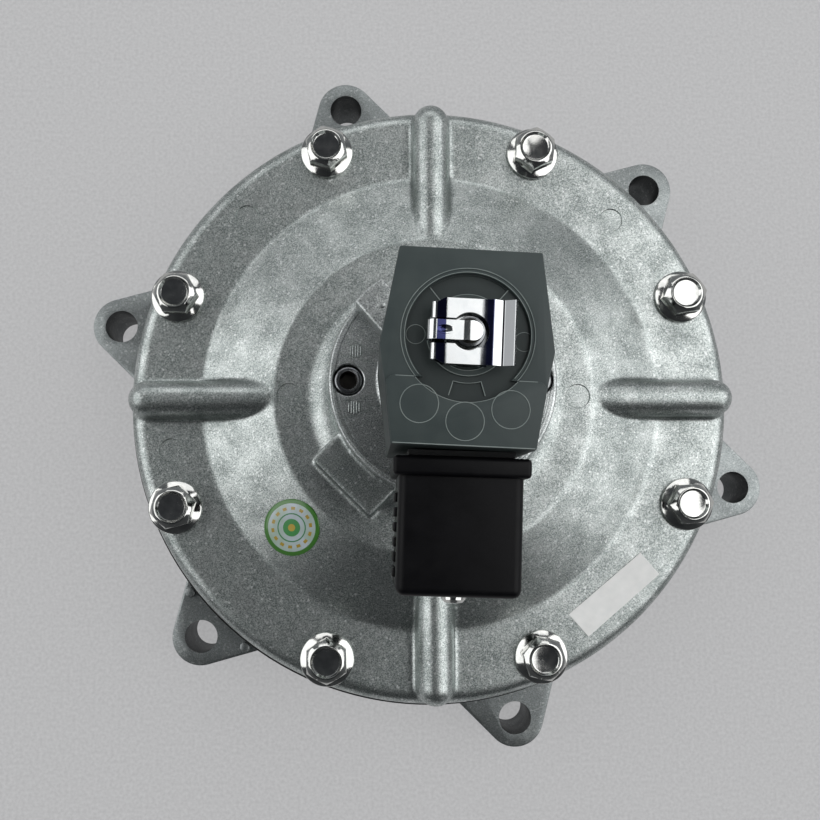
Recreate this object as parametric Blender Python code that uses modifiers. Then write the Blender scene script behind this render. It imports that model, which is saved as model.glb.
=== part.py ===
"""Manifold-mounted diaphragm pulse valve of the 3 inch class, with a solenoid pilot.

Units are metres and +Z is up. The origin is the centre of the flat mounting face, the valve's axis
is the Z axis, and the coil's cable connector points towards -Y. Angles are in degrees from +X.
"""
import math

import bmesh
import bpy
from mathutils import Matrix, Vector

# Fits shared by all pieces
GAP = 0.0003                       # between two pieces that rest on each other
HOLE_PLAY = 0.0005                 # round a bolt or screw in its clearance hole
THREAD_PLAY = 0.0003               # round a bolt or screw in its tapped hole
TAPPING_SPARE = 0.0012             # of a tapped hole past its screw's end
CAST_EDGE = 0.0005                 # small chamfer of a casting, and of a cutter past a cast face
LARGE_STEPS = 40                   # facets round a large turned piece
MEDIUM_STEPS = 24                  # facets round a piece of the pilot's size
SMALL_STEPS = 14                   # facets round a small turned piece

# Valve body and its mounting lugs
BODY_HEIGHT = 0.0295
BODY_RADIUS = 0.1000
BODY_DRAFT = 0.0012
BODY_LAND = 0.0170                 # width of the faces outside the inlet
OUTLET_TUBE_WALL = 0.0058
SEAT_DROP = 0.0033                 # of the main seat below the body's upper face
SEAT_LIP_WIDTH = 0.0026
BLOW_TUBE_RADIUS = 0.04445
BLOW_TUBE_STOP = 0.00595           # width of the shoulder that the blow tube meets
SOCKET_PLAY = 0.00025
SOCKET_DEPTH = 0.0180
WEB_COUNT = 4
WEB_FIRST_ANGLE = 45.0
WEB_WIDTH = 0.0080
WEB_RECESS = 0.0040
WEB_HEIGHT = 0.0130
LUG_COUNT = 6
LUG_FIRST_ANGLE = -15.0
LUG_STAND = 0.0150                 # from the body's edge to the lug holes
LUG_ROOT_DEPTH = 0.0060            # of a lug inside the body's edge
LUG_TIP_RADIUS = 0.0102
LUG_HOLE_RADIUS = 0.00575
LUG_HEIGHT = 0.0244
LUG_FLARE = 30.0
LUG_EDGE = 0.0005
CAST_PIP_RADIUS = 0.00175
CAST_PIP_HEIGHT = 0.0024
CAST_PIP_INSET = 0.0076            # of the pips from the circle of the lug holes
CAST_PIP_ANGLES = (217.7, 232.3)

# Sealing rings
TANK_RING_SECTION = 0.0053
OUTLET_RING_SECTION = 0.0035
STEM_RING_SECTION = 0.0018
GROOVE_PLAY = 0.0004

# Main diaphragm and its plates
DIAPHRAGM_THICKNESS = 0.0030
DIAPHRAGM_WEB = 0.0022
DIAPHRAGM_OVERHANG = 0.0008
DIAPHRAGM_HINGE_INSET = 0.0010      # of the convolution from the plates and the clamped rim
CONVOLUTION_RISE = 0.0042
SEAT_PAD_OVERHANG = 0.0007         # past the seat's lip
SEAT_PAD_THICKNESS = 0.0034
RETAINER_PLAY = 0.0035             # round the retainer in the seat's bore
RETAINER_THICKNESS = 0.0028
UPPER_PLATE_INSET = 0.0023         # from the seat pad's edge
UPPER_PLATE_THICKNESS = 0.0030
UPPER_PLATE_LIP = 0.0020
CENTRE_BOLT_RADIUS = 0.0050
CENTRE_BOLT_FLATS = 0.0170
CENTRE_BOLT_HEAD = 0.0064
CENTRE_NUT_HEIGHT = 0.0060
MAIN_LIFT = 0.0120

# Top cover
COVER_OVERHANG = 0.0026            # of the rim past the body
COVER_FLANGE_THICKNESS = 0.0119
COVER_RIM_FILLET = 0.0046
COVER_WALL = 0.0055
SLOPE_FOOT_INSET = 0.0050          # of the slope's foot from the inlet's edge
SLOPE_TOP_RADIUS = 0.0530
DOME_RISE = 0.0110
TOWER_RADIUS = 0.0328
TOWER_HEIGHT = 0.0260
TOWER_FOOT_FILLET = 0.0105
SPRING_BORE_RADIUS = 0.0225
EXHAUST_CHAMBER_RADIUS = 0.0195
EXHAUST_CHAMBER_DEPTH = 0.0145
TOWER_WEB = 0.0050
PILOT_SEAT_BORE = 0.0060
PILOT_SEAT_WALL = 0.0022
RIB_COUNT = 4
RIB_WIDTH = 0.0124
RIB_INSET = 0.0008                 # of the ribs' noses from the rim
RIB_DROP = 0.0002
RIB_CREST_WIDTH = 0.0008
RIB_FOOT_FILLET = 0.0012
EXHAUST_ANGLE = 225.0
EXHAUST_BLOCK_WIDTH = 0.0250
EXHAUST_BLOCK_REACH = 0.0430
EXHAUST_BLOCK_HEIGHT = 0.0200
EXHAUST_DUCT_WIDTH = 0.0150
EXHAUST_DUCT_HEIGHT = 0.0062
EXHAUST_DUCT_OFFSET = 0.0025
EXHAUST_MOUTH_START = 0.0280
EXHAUST_MOUTH_SILL = 0.0022
EXHAUST_MOUTH_FLARE = 0.0006
EXHAUST_BLOCK_EDGE = 0.0012
EXHAUST_FOOT_FILLET = 0.0018

# Cover bolts
BOLT_COUNT = 8
BOLT_FIRST_ANGLE = 22.5
BOLT_EDGE_DISTANCE = 0.0062        # from the body's edge to the bolts
BOLT_RADIUS = 0.0040
BOLT_LENGTH = 0.0320
BOLT_FLANGE_RADIUS = 0.00895
BOLT_FLANGE_THICKNESS = 0.0012
BOLT_FLATS = 0.0130
BOLT_HEAD_HEIGHT = 0.0078
BOLT_DISH_RADIUS = 0.0049
BOLT_DISH_DEPTH = 0.0009
BOLT_TURN_SPREAD = 1.7              # turns the hexagons by different angles, as tightening does

# Pilot diaphragm, disc and cap
PILOT_DIAPHRAGM_THICKNESS = 0.0012
PILOT_LIFT = 0.0022
PILOT_DISC_RADIUS = 0.0100
PILOT_DISC_THICKNESS = 0.0014
PILOT_SPIGOT_RADIUS = 0.0020
CAP_RADIUS = 0.0334
CAP_THICKNESS = 0.0107
CAP_EDGE = 0.0008
CAP_CHAMBER_RADIUS = 0.0190
CAP_CHAMBER_DEPTH = 0.0066
CAP_BOSS_HEIGHT = 0.0120
CAP_BOSS_FOOT = 0.0200
CAP_BOSS_RADIUS = 0.0165
CAP_BORE_RADIUS = 0.0100
CAP_BORE_DEPTH = 0.0105
PILOT_JET_RADIUS = 0.0012
PILOT_JET_WALL = 0.0013
PILOT_JET_HEIGHT = 0.0016
CAP_BAR_ANGLE = 131.0
CAP_BAR_WIDTH = 0.0104
CAP_BAR_HEIGHT = 0.0080
CAP_VENT_RADIUS = 0.0015
CAP_SCREW_COUNT = 4
CAP_SCREW_CIRCLE = 0.0276
CAP_SCREW_RADIUS = 0.0025
CAP_SCREW_LENGTH = 0.0160
CAP_SCREW_HEAD_RADIUS = 0.00425
CAP_SCREW_HEAD_HEIGHT = 0.0050
CAP_SCREW_SOCKET_FLATS = 0.0042
CAP_SCREW_SOCKET_DEPTH = 0.0028
CAP_COUNTERBORE_RADIUS = 0.0047
CAP_SCREW_TURN = 12.0

# Solenoid stem, core and plunger
STEM_RADIUS = 0.0065
STEM_WALL = 0.0012
STEM_SPIGOT_RADIUS = 0.0096
STEM_SPIGOT_LENGTH = 0.0085
STEM_HEX_FLATS = 0.0240
STEM_HEX_HEIGHT = 0.0045
STEM_NECK_RADIUS = 0.0027
STEM_HEAD_RADIUS = 0.0034
STEM_HEAD_HEIGHT = 0.0022
CORE_PLAY = 0.0003
CORE_LENGTH = 0.0180
SHADING_RING_SECTION = 0.0010
PLUNGER_LIFT = 0.0018
PLUNGER_POCKET_DEPTH = 0.0080
PLUNGER_POCKET_RADIUS = 0.0030
PLUNGER_SEAL_RADIUS = 0.0030
PLUNGER_SEAL_THICKNESS = 0.0022
PLUNGER_SLOT_WIDTH = 0.0012

# Springs: wire radius and mean coil radius, and how many turns each has
MAIN_SPRING = {"wire": 0.0010, "radius": 0.0188, "turns": 5}
PILOT_SPRING = {"wire": 0.0003, "radius": 0.0048, "turns": 1.5}
PLUNGER_SPRING = {"wire": 0.00025, "radius": 0.0022, "turns": 5}

# Coil, drawn square to the axes and then turned on the stem as a whole
COIL_TURN = -2.2
COIL_CLEARANCE = 0.0014
COIL_HEIGHT = 0.0515
COIL_BORE_PLAY = 0.0005
COIL_TOP_HALF_WIDTH = 0.0156
COIL_TOP_END = 0.0185
COIL_WAIST_HALF_WIDTH = 0.0192
COIL_SHOULDER_HALF_WIDTH = 0.0176
COIL_SHOULDER_Y = -0.0092
COIL_END_HALF_WIDTH = 0.0163
COIL_END = 0.0245
COIL_SKIN = 0.0034
COIL_PAD_RISE = 0.0008
COIL_PAD_INSET = 0.0006
COIL_PAD_SINK = 0.0010
COIL_EDGE = 0.0006
COIL_WELL_RADIUS = 0.0149
COIL_WELL_DEPTH = 0.0007
COIL_RIM_WIDTH = 0.0008
COIL_RIM_RISE = 0.0003
COIL_HUB_RADIUS = 0.0093
WINDING_RADIUS = 0.0140
BOBBIN_WALL = 0.0013
FLUX_PLATE_THICKNESS = 0.0025
PIN_SPACING = 0.0180
PIN_WIDTH = 0.0063
PIN_THICKNESS = 0.0008
PIN_LENGTH = 0.0110

# Connector, on the coil's -Y end
CONNECTOR_DROP = 0.0050
CONNECTOR_WIDTH = 0.0278
CONNECTOR_HEIGHT = 0.0280
CONNECTOR_LENGTH = 0.0308
CONNECTOR_WALL = 0.0020
COLLAR_LENGTH = 0.0044
COLLAR_STAND = 0.0014
COLLAR_EDGE = 0.0006
CONNECTOR_CORNER = 0.0016
GASKET_THICKNESS = 0.0012
INSERT_LENGTH = 0.0120
CONNECTOR_SCREW_RADIUS = 0.0015
CONNECTOR_SCREW_DEPTH = 0.0060
CONNECTOR_SCREW_HEAD_RADIUS = 0.0029
CONNECTOR_SCREW_HEAD_HEIGHT = 0.0022
CONNECTOR_SCREW_EDGE = 0.0006
GRIP_RIB_COUNT = 5
GRIP_RIB_PITCH = 0.0037
GRIP_RIB_LENGTH = 0.0026
GRIP_RIB_STAND = 0.0007
GRIP_RIB_HEIGHT = 0.0120
GLAND_BACK = 0.0135
GLAND_SPIGOT_RADIUS = 0.0086
GLAND_BORE_RADIUS = 0.0072
GLAND_SPIGOT_LENGTH = 0.0090
GLAND_NUT_FLATS = 0.0210
GLAND_NUT_HEIGHT = 0.0140
GLAND_NUT_COVER = 0.0070
CABLE_HOLE_RADIUS = 0.0036
GLAND_MOUTH_PLAY = 0.0014
GLAND_LIP = 0.0022
GLAND_WASHER_THICKNESS = 0.0012
GLAND_WASHER_PLAY = 0.0010
GROMMET_REACH = 0.0070

# Retaining clip on the stem's head
CLIP_SHEET = 0.0006
CLIP_HALF_WIDTH = 0.0074
CLIP_LEFT = 0.0083
CLIP_RISE = 0.0017
CLIP_FORK_END = 0.0040
CLIP_HOLE_RADIUS = 0.0043
CLIP_TONGUE_WIDTH = 0.0043
CLIP_TONGUE_END = 0.0027
CLIP_SLOT_WIDTH = 0.0062
CLIP_LIP_STEP = 0.0012             # a fifth of the way that the bent lip runs past the tongue
CLIP_DIP = 0.0006
CLIP_CREST = 0.0010
CLIP_VALLEY = 0.0002
CLIP_LIFT = 0.0024

# Levels that follow from the sizes above
OUTLET_TUBE_RADIUS = BLOW_TUBE_RADIUS + SOCKET_PLAY + OUTLET_TUBE_WALL
SEAT_BORE_RADIUS = BLOW_TUBE_RADIUS - BLOW_TUBE_STOP
SEAT_PAD_RADIUS = SEAT_BORE_RADIUS + SEAT_LIP_WIDTH + SEAT_PAD_OVERHANG
RETAINER_RADIUS = SEAT_BORE_RADIUS - RETAINER_PLAY
UPPER_PLATE_RADIUS = SEAT_PAD_RADIUS - UPPER_PLATE_INSET
SEAT_HEIGHT = BODY_HEIGHT - SEAT_DROP
INLET_RADIUS = BODY_RADIUS - BODY_LAND
SLOPE_FOOT_RADIUS = INLET_RADIUS - SLOPE_FOOT_INSET
TANK_RING_RADIUS = INLET_RADIUS + (BODY_LAND - BODY_DRAFT) / 2
LUG_CIRCLE_RADIUS = BODY_RADIUS + LUG_STAND
CAST_PIP_CIRCLE = LUG_CIRCLE_RADIUS - CAST_PIP_INSET
COVER_RADIUS = BODY_RADIUS + COVER_OVERHANG
BOLT_CIRCLE_RADIUS = BODY_RADIUS - BOLT_EDGE_DISTANCE
RIB_REACH = COVER_RADIUS - RIB_INSET
COVER_BOTTOM = BODY_HEIGHT + GAP + DIAPHRAGM_THICKNESS + GAP
COVER_FACE = COVER_BOTTOM + COVER_FLANGE_THICKNESS
PLATEAU = COVER_FACE + DOME_RISE
TOWER_TOP = PLATEAU + TOWER_HEIGHT
CHAMBER_FLOOR = TOWER_TOP - EXHAUST_CHAMBER_DEPTH
SPRING_BORE_TOP = CHAMBER_FLOOR - TOWER_WEB
SEAT_PAD_BOTTOM = SEAT_HEIGHT + GAP
DIAPHRAGM_CENTRE = SEAT_PAD_BOTTOM + SEAT_PAD_THICKNESS + GAP
UPPER_PLATE_BOTTOM = DIAPHRAGM_CENTRE + DIAPHRAGM_WEB + GAP
UPPER_PLATE_TOP = UPPER_PLATE_BOTTOM + UPPER_PLATE_THICKNESS
RETAINER_BOTTOM = SEAT_PAD_BOTTOM - GAP - RETAINER_THICKNESS
CAP_BOTTOM = TOWER_TOP + GAP + PILOT_DIAPHRAGM_THICKNESS + GAP
CAP_TOP = CAP_BOTTOM + CAP_THICKNESS
CAP_BOSS_TOP = CAP_TOP + CAP_BOSS_HEIGHT
CAP_BORE_FLOOR = CAP_BOSS_TOP - CAP_BORE_DEPTH
CAP_CHAMBER_TOP = CAP_BOTTOM + CAP_CHAMBER_DEPTH
PILOT_DISC_BOTTOM = TOWER_TOP + GAP + PILOT_DIAPHRAGM_THICKNESS + GAP
STEM_HEX_BOTTOM = CAP_BOSS_TOP + GAP
STEM_HEX_TOP = STEM_HEX_BOTTOM + STEM_HEX_HEIGHT
COIL_BOTTOM = STEM_HEX_TOP + COIL_CLEARANCE
COIL_TOP = COIL_BOTTOM + COIL_HEIGHT
STEM_BORE_RADIUS = STEM_RADIUS - STEM_WALL
STEM_SHOULDER = COIL_TOP + COIL_PAD_RISE
CLIP_BOTTOM = STEM_SHOULDER + GAP
STEM_NECK_TOP = CLIP_BOTTOM + CLIP_SHEET + GAP
STEM_BORE_TOP = STEM_SHOULDER - 2 * STEM_WALL
CORE_TOP = STEM_BORE_TOP - GAP
CORE_BOTTOM = CORE_TOP - CORE_LENGTH
JET_TOP = CAP_BORE_FLOOR + PILOT_JET_HEIGHT
PLUNGER_BOTTOM = JET_TOP + GAP
PLUNGER_TOP = CORE_BOTTOM - GAP - PLUNGER_LIFT
CONNECTOR_TOP = COIL_TOP - CONNECTOR_DROP
CONNECTOR_BOTTOM = CONNECTOR_TOP - CONNECTOR_HEIGHT
CONNECTOR_MIDDLE = (CONNECTOR_TOP + CONNECTOR_BOTTOM) / 2
GASKET_Y = -COIL_END - GAP
SHELL_Y = GASKET_Y - GASKET_THICKNESS - GAP
SHELL_END = SHELL_Y - CONNECTOR_LENGTH
GLAND_Y = SHELL_END + GLAND_BACK
GLAND_SPIGOT_END = CONNECTOR_BOTTOM - GLAND_SPIGOT_LENGTH


def start_scene():
    """Removes the startup objects and makes the collections for the parts and the cutters."""
    for old in list(bpy.data.objects):
        bpy.data.objects.remove(old)
    parts = bpy.data.collections.new("pulse_valve")
    tools = bpy.data.collections.new("construction")
    for group in (parts, tools):
        bpy.context.scene.collection.children.link(group)
    return parts, tools


def finish(name, colour, roughness, metallic):
    """A plain Principled material."""
    made = bpy.data.materials.new(name)
    made.use_nodes = True
    shader = made.node_tree.nodes["Principled BSDF"]
    shader.inputs["Base Color"].default_value = (*colour, 1.0)
    shader.inputs["Roughness"].default_value = roughness
    shader.inputs["Metallic"].default_value = metallic
    return made


PARTS, TOOLS = start_scene()
CAST_ALUMINIUM = finish("cast_aluminium", (0.36, 0.37, 0.38), 0.45, 0.9)
PLATED_STEEL = finish("plated_steel", (0.68, 0.68, 0.66), 0.2, 1.0)
DARK_STEEL = finish("dark_steel", (0.12, 0.12, 0.12), 0.4, 0.9)
SPRING_STEEL = finish("spring_steel", (0.5, 0.5, 0.5), 0.3, 1.0)
COPPER = finish("copper", (0.72, 0.33, 0.16), 0.35, 1.0)
BRASS = finish("brass", (0.62, 0.48, 0.2), 0.35, 1.0)
BLACK_RUBBER = finish("black_rubber", (0.02, 0.02, 0.02), 0.8, 0.0)
COIL_RESIN = finish("coil_resin", (0.075, 0.09, 0.088), 0.5, 0.0)
BLACK_PLASTIC = finish("black_plastic", (0.008, 0.008, 0.01), 0.35, 0.0)
PALE_PLASTIC = finish("pale_plastic", (0.6, 0.58, 0.5), 0.5, 0.0)


def add_object(name, data, material=None, parent=None):
    """Puts a mesh or curve in the scene: a part if it has a material, and a tool if it has none."""
    made = bpy.data.objects.new(name, data)
    made.parent = parent
    if material:
        data.materials.append(material)
        PARTS.objects.link(made)
    else:
        made.hide_render = True
        made.display_type = "WIRE"
        TOOLS.objects.link(made)
    return made


def add_empty(name, turn=0.0):
    """An empty on the valve's axis that carries the pieces of one body."""
    made = bpy.data.objects.new(name, None)
    made.rotation_euler.z = math.radians(turn)
    PARTS.objects.link(made)
    return made


def boolean(target, tool, operation):
    """Joins a tool to a target or cuts it out of it."""
    step = target.modifiers.new(operation.lower(), "BOOLEAN")
    step.operation = operation
    step.solver = "EXACT"
    step.object = tool


def join(target, tool):
    boolean(target, tool, "UNION")


def cut(target, tool):
    boolean(target, tool, "DIFFERENCE")


def bevel(target, width, segments=1):
    """Breaks the sharp edges of a piece."""
    step = target.modifiers.new("edges", "BEVEL")
    step.width = width
    step.segments = segments
    step.limit_method = "ANGLE"
    step.angle_limit = math.radians(50)
    step.use_clamp_overlap = True


def arc(centre, radius, start, end, count):
    """Points on an arc, from one angle to another in degrees."""
    angles = [math.radians(start + (end - start) * i / count) for i in range(count + 1)]
    return [(centre[0] + radius * math.cos(a), centre[1] + radius * math.sin(a)) for a in angles]


def turned(name, profile, material=None, parent=None, closed=True, steps=SMALL_STEPS):
    """A turned piece: a profile of (radius, height) points that runs down its outer side."""
    mesh = bpy.data.meshes.new(name)
    count = len(profile)
    edges = [(i, i + 1) for i in range(count - 1)]
    if closed:
        edges.append((count - 1, 0))
    mesh.from_pydata([(r, 0.0, z) for r, z in profile], edges, [])
    made = add_object(name, mesh, material, parent)
    screw = made.modifiers.new("turn", "SCREW")
    screw.steps = steps
    screw.render_steps = steps
    screw.use_merge_vertices = True
    screw.merge_threshold = 0.00001
    screw.use_smooth_shade = True
    return made


def cylinder(mesh_builder, radius, low, high, centre=(0.0, 0.0), steps=SMALL_STEPS, top_radius=None):
    """Adds an upright cylinder or cone to a bmesh."""
    bmesh.ops.create_cone(
        mesh_builder, cap_ends=True, segments=steps, radius1=radius,
        radius2=radius if top_radius is None else top_radius, depth=high - low,
        matrix=Matrix.Translation((centre[0], centre[1], (low + high) / 2)))


def box(mesh_builder, low, high, turn=0.0):
    """Adds a box between two corners to a bmesh, turned about the valve's axis."""
    low, high = Vector(low), Vector(high)
    place = Matrix.Rotation(math.radians(turn), 4, "Z") @ Matrix.Translation((low + high) / 2)
    bmesh.ops.create_cube(mesh_builder, size=1.0, matrix=place @ Matrix.Diagonal((*(high - low), 1.0)))


def solid(name, build, material=None, parent=None):
    """An object from a function that fills a bmesh with primitives."""
    builder = bmesh.new()
    build(builder)
    mesh = bpy.data.meshes.new(name)
    builder.to_mesh(mesh)
    builder.free()
    return add_object(name, mesh, material, parent)


def evaluated_mesh(source, name):
    """The closed mesh that an object's modifiers or curve settings make."""
    bpy.context.view_layer.update()
    graph = bpy.context.evaluated_depsgraph_get()
    mesh = bpy.data.meshes.new_from_object(source.evaluated_get(graph))
    mesh.name = name
    builder = bmesh.new()
    builder.from_mesh(mesh)
    bmesh.ops.remove_doubles(builder, verts=builder.verts, dist=0.000001)
    builder.to_mesh(mesh)
    builder.free()
    return mesh


def plate_mesh(name, outline, low, high):
    """The mesh of a flat outline with a thickness, drawn as a filled 2D curve."""
    curve = bpy.data.curves.new(name, "CURVE")
    curve.dimensions = "2D"
    curve.fill_mode = "BOTH"
    curve.extrude = (high - low) / 2
    spline = curve.splines.new("POLY")
    spline.points.add(len(outline) - 1)
    for point, (x, y) in zip(spline.points, outline):
        point.co = (x, y, 0.0, 1.0)
    spline.use_cyclic_u = True
    holder = add_object(name, curve)
    mesh = evaluated_mesh(holder, name)
    mesh.transform(Matrix.Translation((0.0, 0.0, (low + high) / 2)))
    bpy.data.objects.remove(holder)
    return mesh


def ring_of(mesh, count, first_angle=0.0):
    """One mesh with copies of another round the valve's axis."""
    builder = bmesh.new()
    for i in range(count):
        turned_copy = mesh.copy()
        turned_copy.transform(Matrix.Rotation(math.radians(first_angle + 360.0 * i / count), 4, "Z"))
        builder.from_mesh(turned_copy)
        bpy.data.meshes.remove(turned_copy)
    made = bpy.data.meshes.new(mesh.name + "_ring")
    builder.to_mesh(made)
    builder.free()
    return made


def hole_circle(name, radius, low, high, circle, count, first_angle, steps=10):
    """A cutter with one cylinder for each hole of a bolt circle."""
    def build(builder):
        for i in range(count):
            angle = math.radians(first_angle + 360.0 * i / count)
            centre = (circle * math.cos(angle), circle * math.sin(angle))
            cylinder(builder, radius, low, high, centre, steps)
    return solid(name, build)


def spring(name, wire, radius, turns, low, high, parent=None):
    """A compression spring with closed ends, standing between two levels."""
    points_per_turn = 9
    dead_turn = 0.75
    bottom, top = low + wire, high - wire
    count = int((turns + 2 * dead_turn) * points_per_turn)
    pitch_height = top - bottom - 4 * wire
    curve = bpy.data.curves.new(name, "CURVE")
    curve.dimensions = "3D"
    curve.bevel_depth = wire
    curve.bevel_resolution = 1
    curve.use_fill_caps = True
    spline = curve.splines.new("POLY")
    spline.points.add(count)
    for i, point in enumerate(spline.points):
        turn = i / points_per_turn
        closed_low = min(turn, dead_turn) / dead_turn
        closed_high = max(turn - turns - dead_turn, 0.0) / dead_turn
        active = min(max(turn - dead_turn, 0.0), turns) / turns
        height = bottom + 2 * wire * (closed_low + closed_high) + pitch_height * active
        angle = 2 * math.pi * turn
        point.co = (radius * math.cos(angle), radius * math.sin(angle), height, 1.0)
    return add_object(name, curve, SPRING_STEEL, parent)


def o_ring(name, radius, section, height, parent=None, steps=MEDIUM_STEPS, sides=6):
    """A rubber ring of round section, centred at a height on the axis."""
    profile = arc((radius, height), section / 2, 0.0, -360.0 + 360.0 / sides, sides - 1)
    return turned(name, profile, BLACK_RUBBER, parent, steps=steps)


def make_valve_body():
    """The die-cast base: outer ring, outlet tube on four webs, and six mounting lugs."""
    groove_half = TANK_RING_SECTION / 2 + GROOVE_PLAY
    groove_outer, groove_inner = TANK_RING_RADIUS + groove_half, TANK_RING_RADIUS - groove_half
    groove_floor = TANK_RING_SECTION + GROOVE_PLAY
    edge = 2 * CAST_EDGE
    ring = [
        (BODY_RADIUS - edge, BODY_HEIGHT), (BODY_RADIUS, BODY_HEIGHT - edge), (BODY_RADIUS - BODY_DRAFT, 0.0),
        (groove_outer, 0.0), (groove_outer, groove_floor), (groove_inner, groove_floor), (groove_inner, 0.0),
        (INLET_RADIUS, 0.0), (INLET_RADIUS, BODY_HEIGHT)]
    body = turned("valve_body", ring, CAST_ALUMINIUM, steps=LARGE_STEPS)
    socket = BLOW_TUBE_RADIUS + SOCKET_PLAY
    ring_seat = socket + OUTLET_RING_SECTION - GROOVE_PLAY
    ring_middle = SOCKET_DEPTH / 2
    ring_half = OUTLET_RING_SECTION / 2 + GROOVE_PLAY
    lip = SEAT_BORE_RADIUS + SEAT_LIP_WIDTH
    tube = [
        (lip - SEAT_LIP_WIDTH / 4, SEAT_HEIGHT), (lip, SEAT_HEIGHT - SEAT_LIP_WIDTH / 3),
        (OUTLET_TUBE_RADIUS, SOCKET_DEPTH), (OUTLET_TUBE_RADIUS, 0.0), (socket, 0.0),
        (socket, ring_middle - ring_half), (ring_seat, ring_middle - ring_half),
        (ring_seat, ring_middle + ring_half), (socket, ring_middle + ring_half), (socket, SOCKET_DEPTH),
        (SEAT_BORE_RADIUS, SOCKET_DEPTH), (SEAT_BORE_RADIUS, SEAT_HEIGHT - SEAT_LIP_WIDTH / 3),
        (SEAT_BORE_RADIUS + SEAT_LIP_WIDTH / 4, SEAT_HEIGHT)]
    sunk = (OUTLET_TUBE_RADIUS - ring_seat) / 2

    def webs(builder):
        low = (OUTLET_TUBE_RADIUS - sunk, -WEB_WIDTH / 2, WEB_RECESS)
        high = (INLET_RADIUS + 2 * edge, WEB_WIDTH / 2, WEB_RECESS + WEB_HEIGHT)
        for i in range(WEB_COUNT):
            box(builder, low, high, WEB_FIRST_ANGLE + 360.0 * i / WEB_COUNT)

    tip = arc((LUG_CIRCLE_RADIUS, 0.0), LUG_TIP_RADIUS, LUG_FLARE - 90.0, 90.0 - LUG_FLARE, 7)
    root = BODY_RADIUS - LUG_ROOT_DEPTH
    spread = tip[-1][1] + (tip[-1][0] - root) * math.tan(math.radians(LUG_FLARE))
    lug = add_object("lug", plate_mesh("lug", [(root, -spread)] + tip + [(root, spread)], 0.0, LUG_HEIGHT))
    bevel(lug, LUG_EDGE)
    lugs = add_object("lugs", ring_of(evaluated_mesh(lug, "lug"), LUG_COUNT, LUG_FIRST_ANGLE))

    def pips(builder):
        for degrees in CAST_PIP_ANGLES:
            angle = math.radians(degrees)
            cylinder(builder, CAST_PIP_RADIUS, LUG_HEIGHT / 2, LUG_HEIGHT + CAST_PIP_HEIGHT,
                     (CAST_PIP_CIRCLE * math.cos(angle), CAST_PIP_CIRCLE * math.sin(angle)), 10)

    join(body, turned("outlet_tube", tube, steps=LARGE_STEPS))
    join(body, solid("webs", webs))
    join(body, lugs)
    join(body, solid("cast_pips", pips))
    cut(body, hole_circle("lug_holes", LUG_HOLE_RADIUS, -edge, LUG_HEIGHT + edge, LUG_CIRCLE_RADIUS,
                          LUG_COUNT, LUG_FIRST_ANGLE, MEDIUM_STEPS))
    tapping_end = COVER_FACE + GAP - BOLT_LENGTH - TAPPING_SPARE
    cut(body, hole_circle("bolt_tappings", BOLT_RADIUS + THREAD_PLAY, tapping_end, BODY_HEIGHT + edge,
                          BOLT_CIRCLE_RADIUS, BOLT_COUNT, BOLT_FIRST_ANGLE))


def make_sealing_rings():
    """The rings that seal the mounting face and the blow tube."""
    o_ring("tank_face_o_ring", TANK_RING_RADIUS, TANK_RING_SECTION, TANK_RING_SECTION / 2 + GAP / 2,
           steps=LARGE_STEPS)
    socket = BLOW_TUBE_RADIUS + SOCKET_PLAY
    o_ring("outlet_o_ring", socket + OUTLET_RING_SECTION / 2 - 2 * GROOVE_PLAY, OUTLET_RING_SECTION,
           SOCKET_DEPTH / 2)


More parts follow.
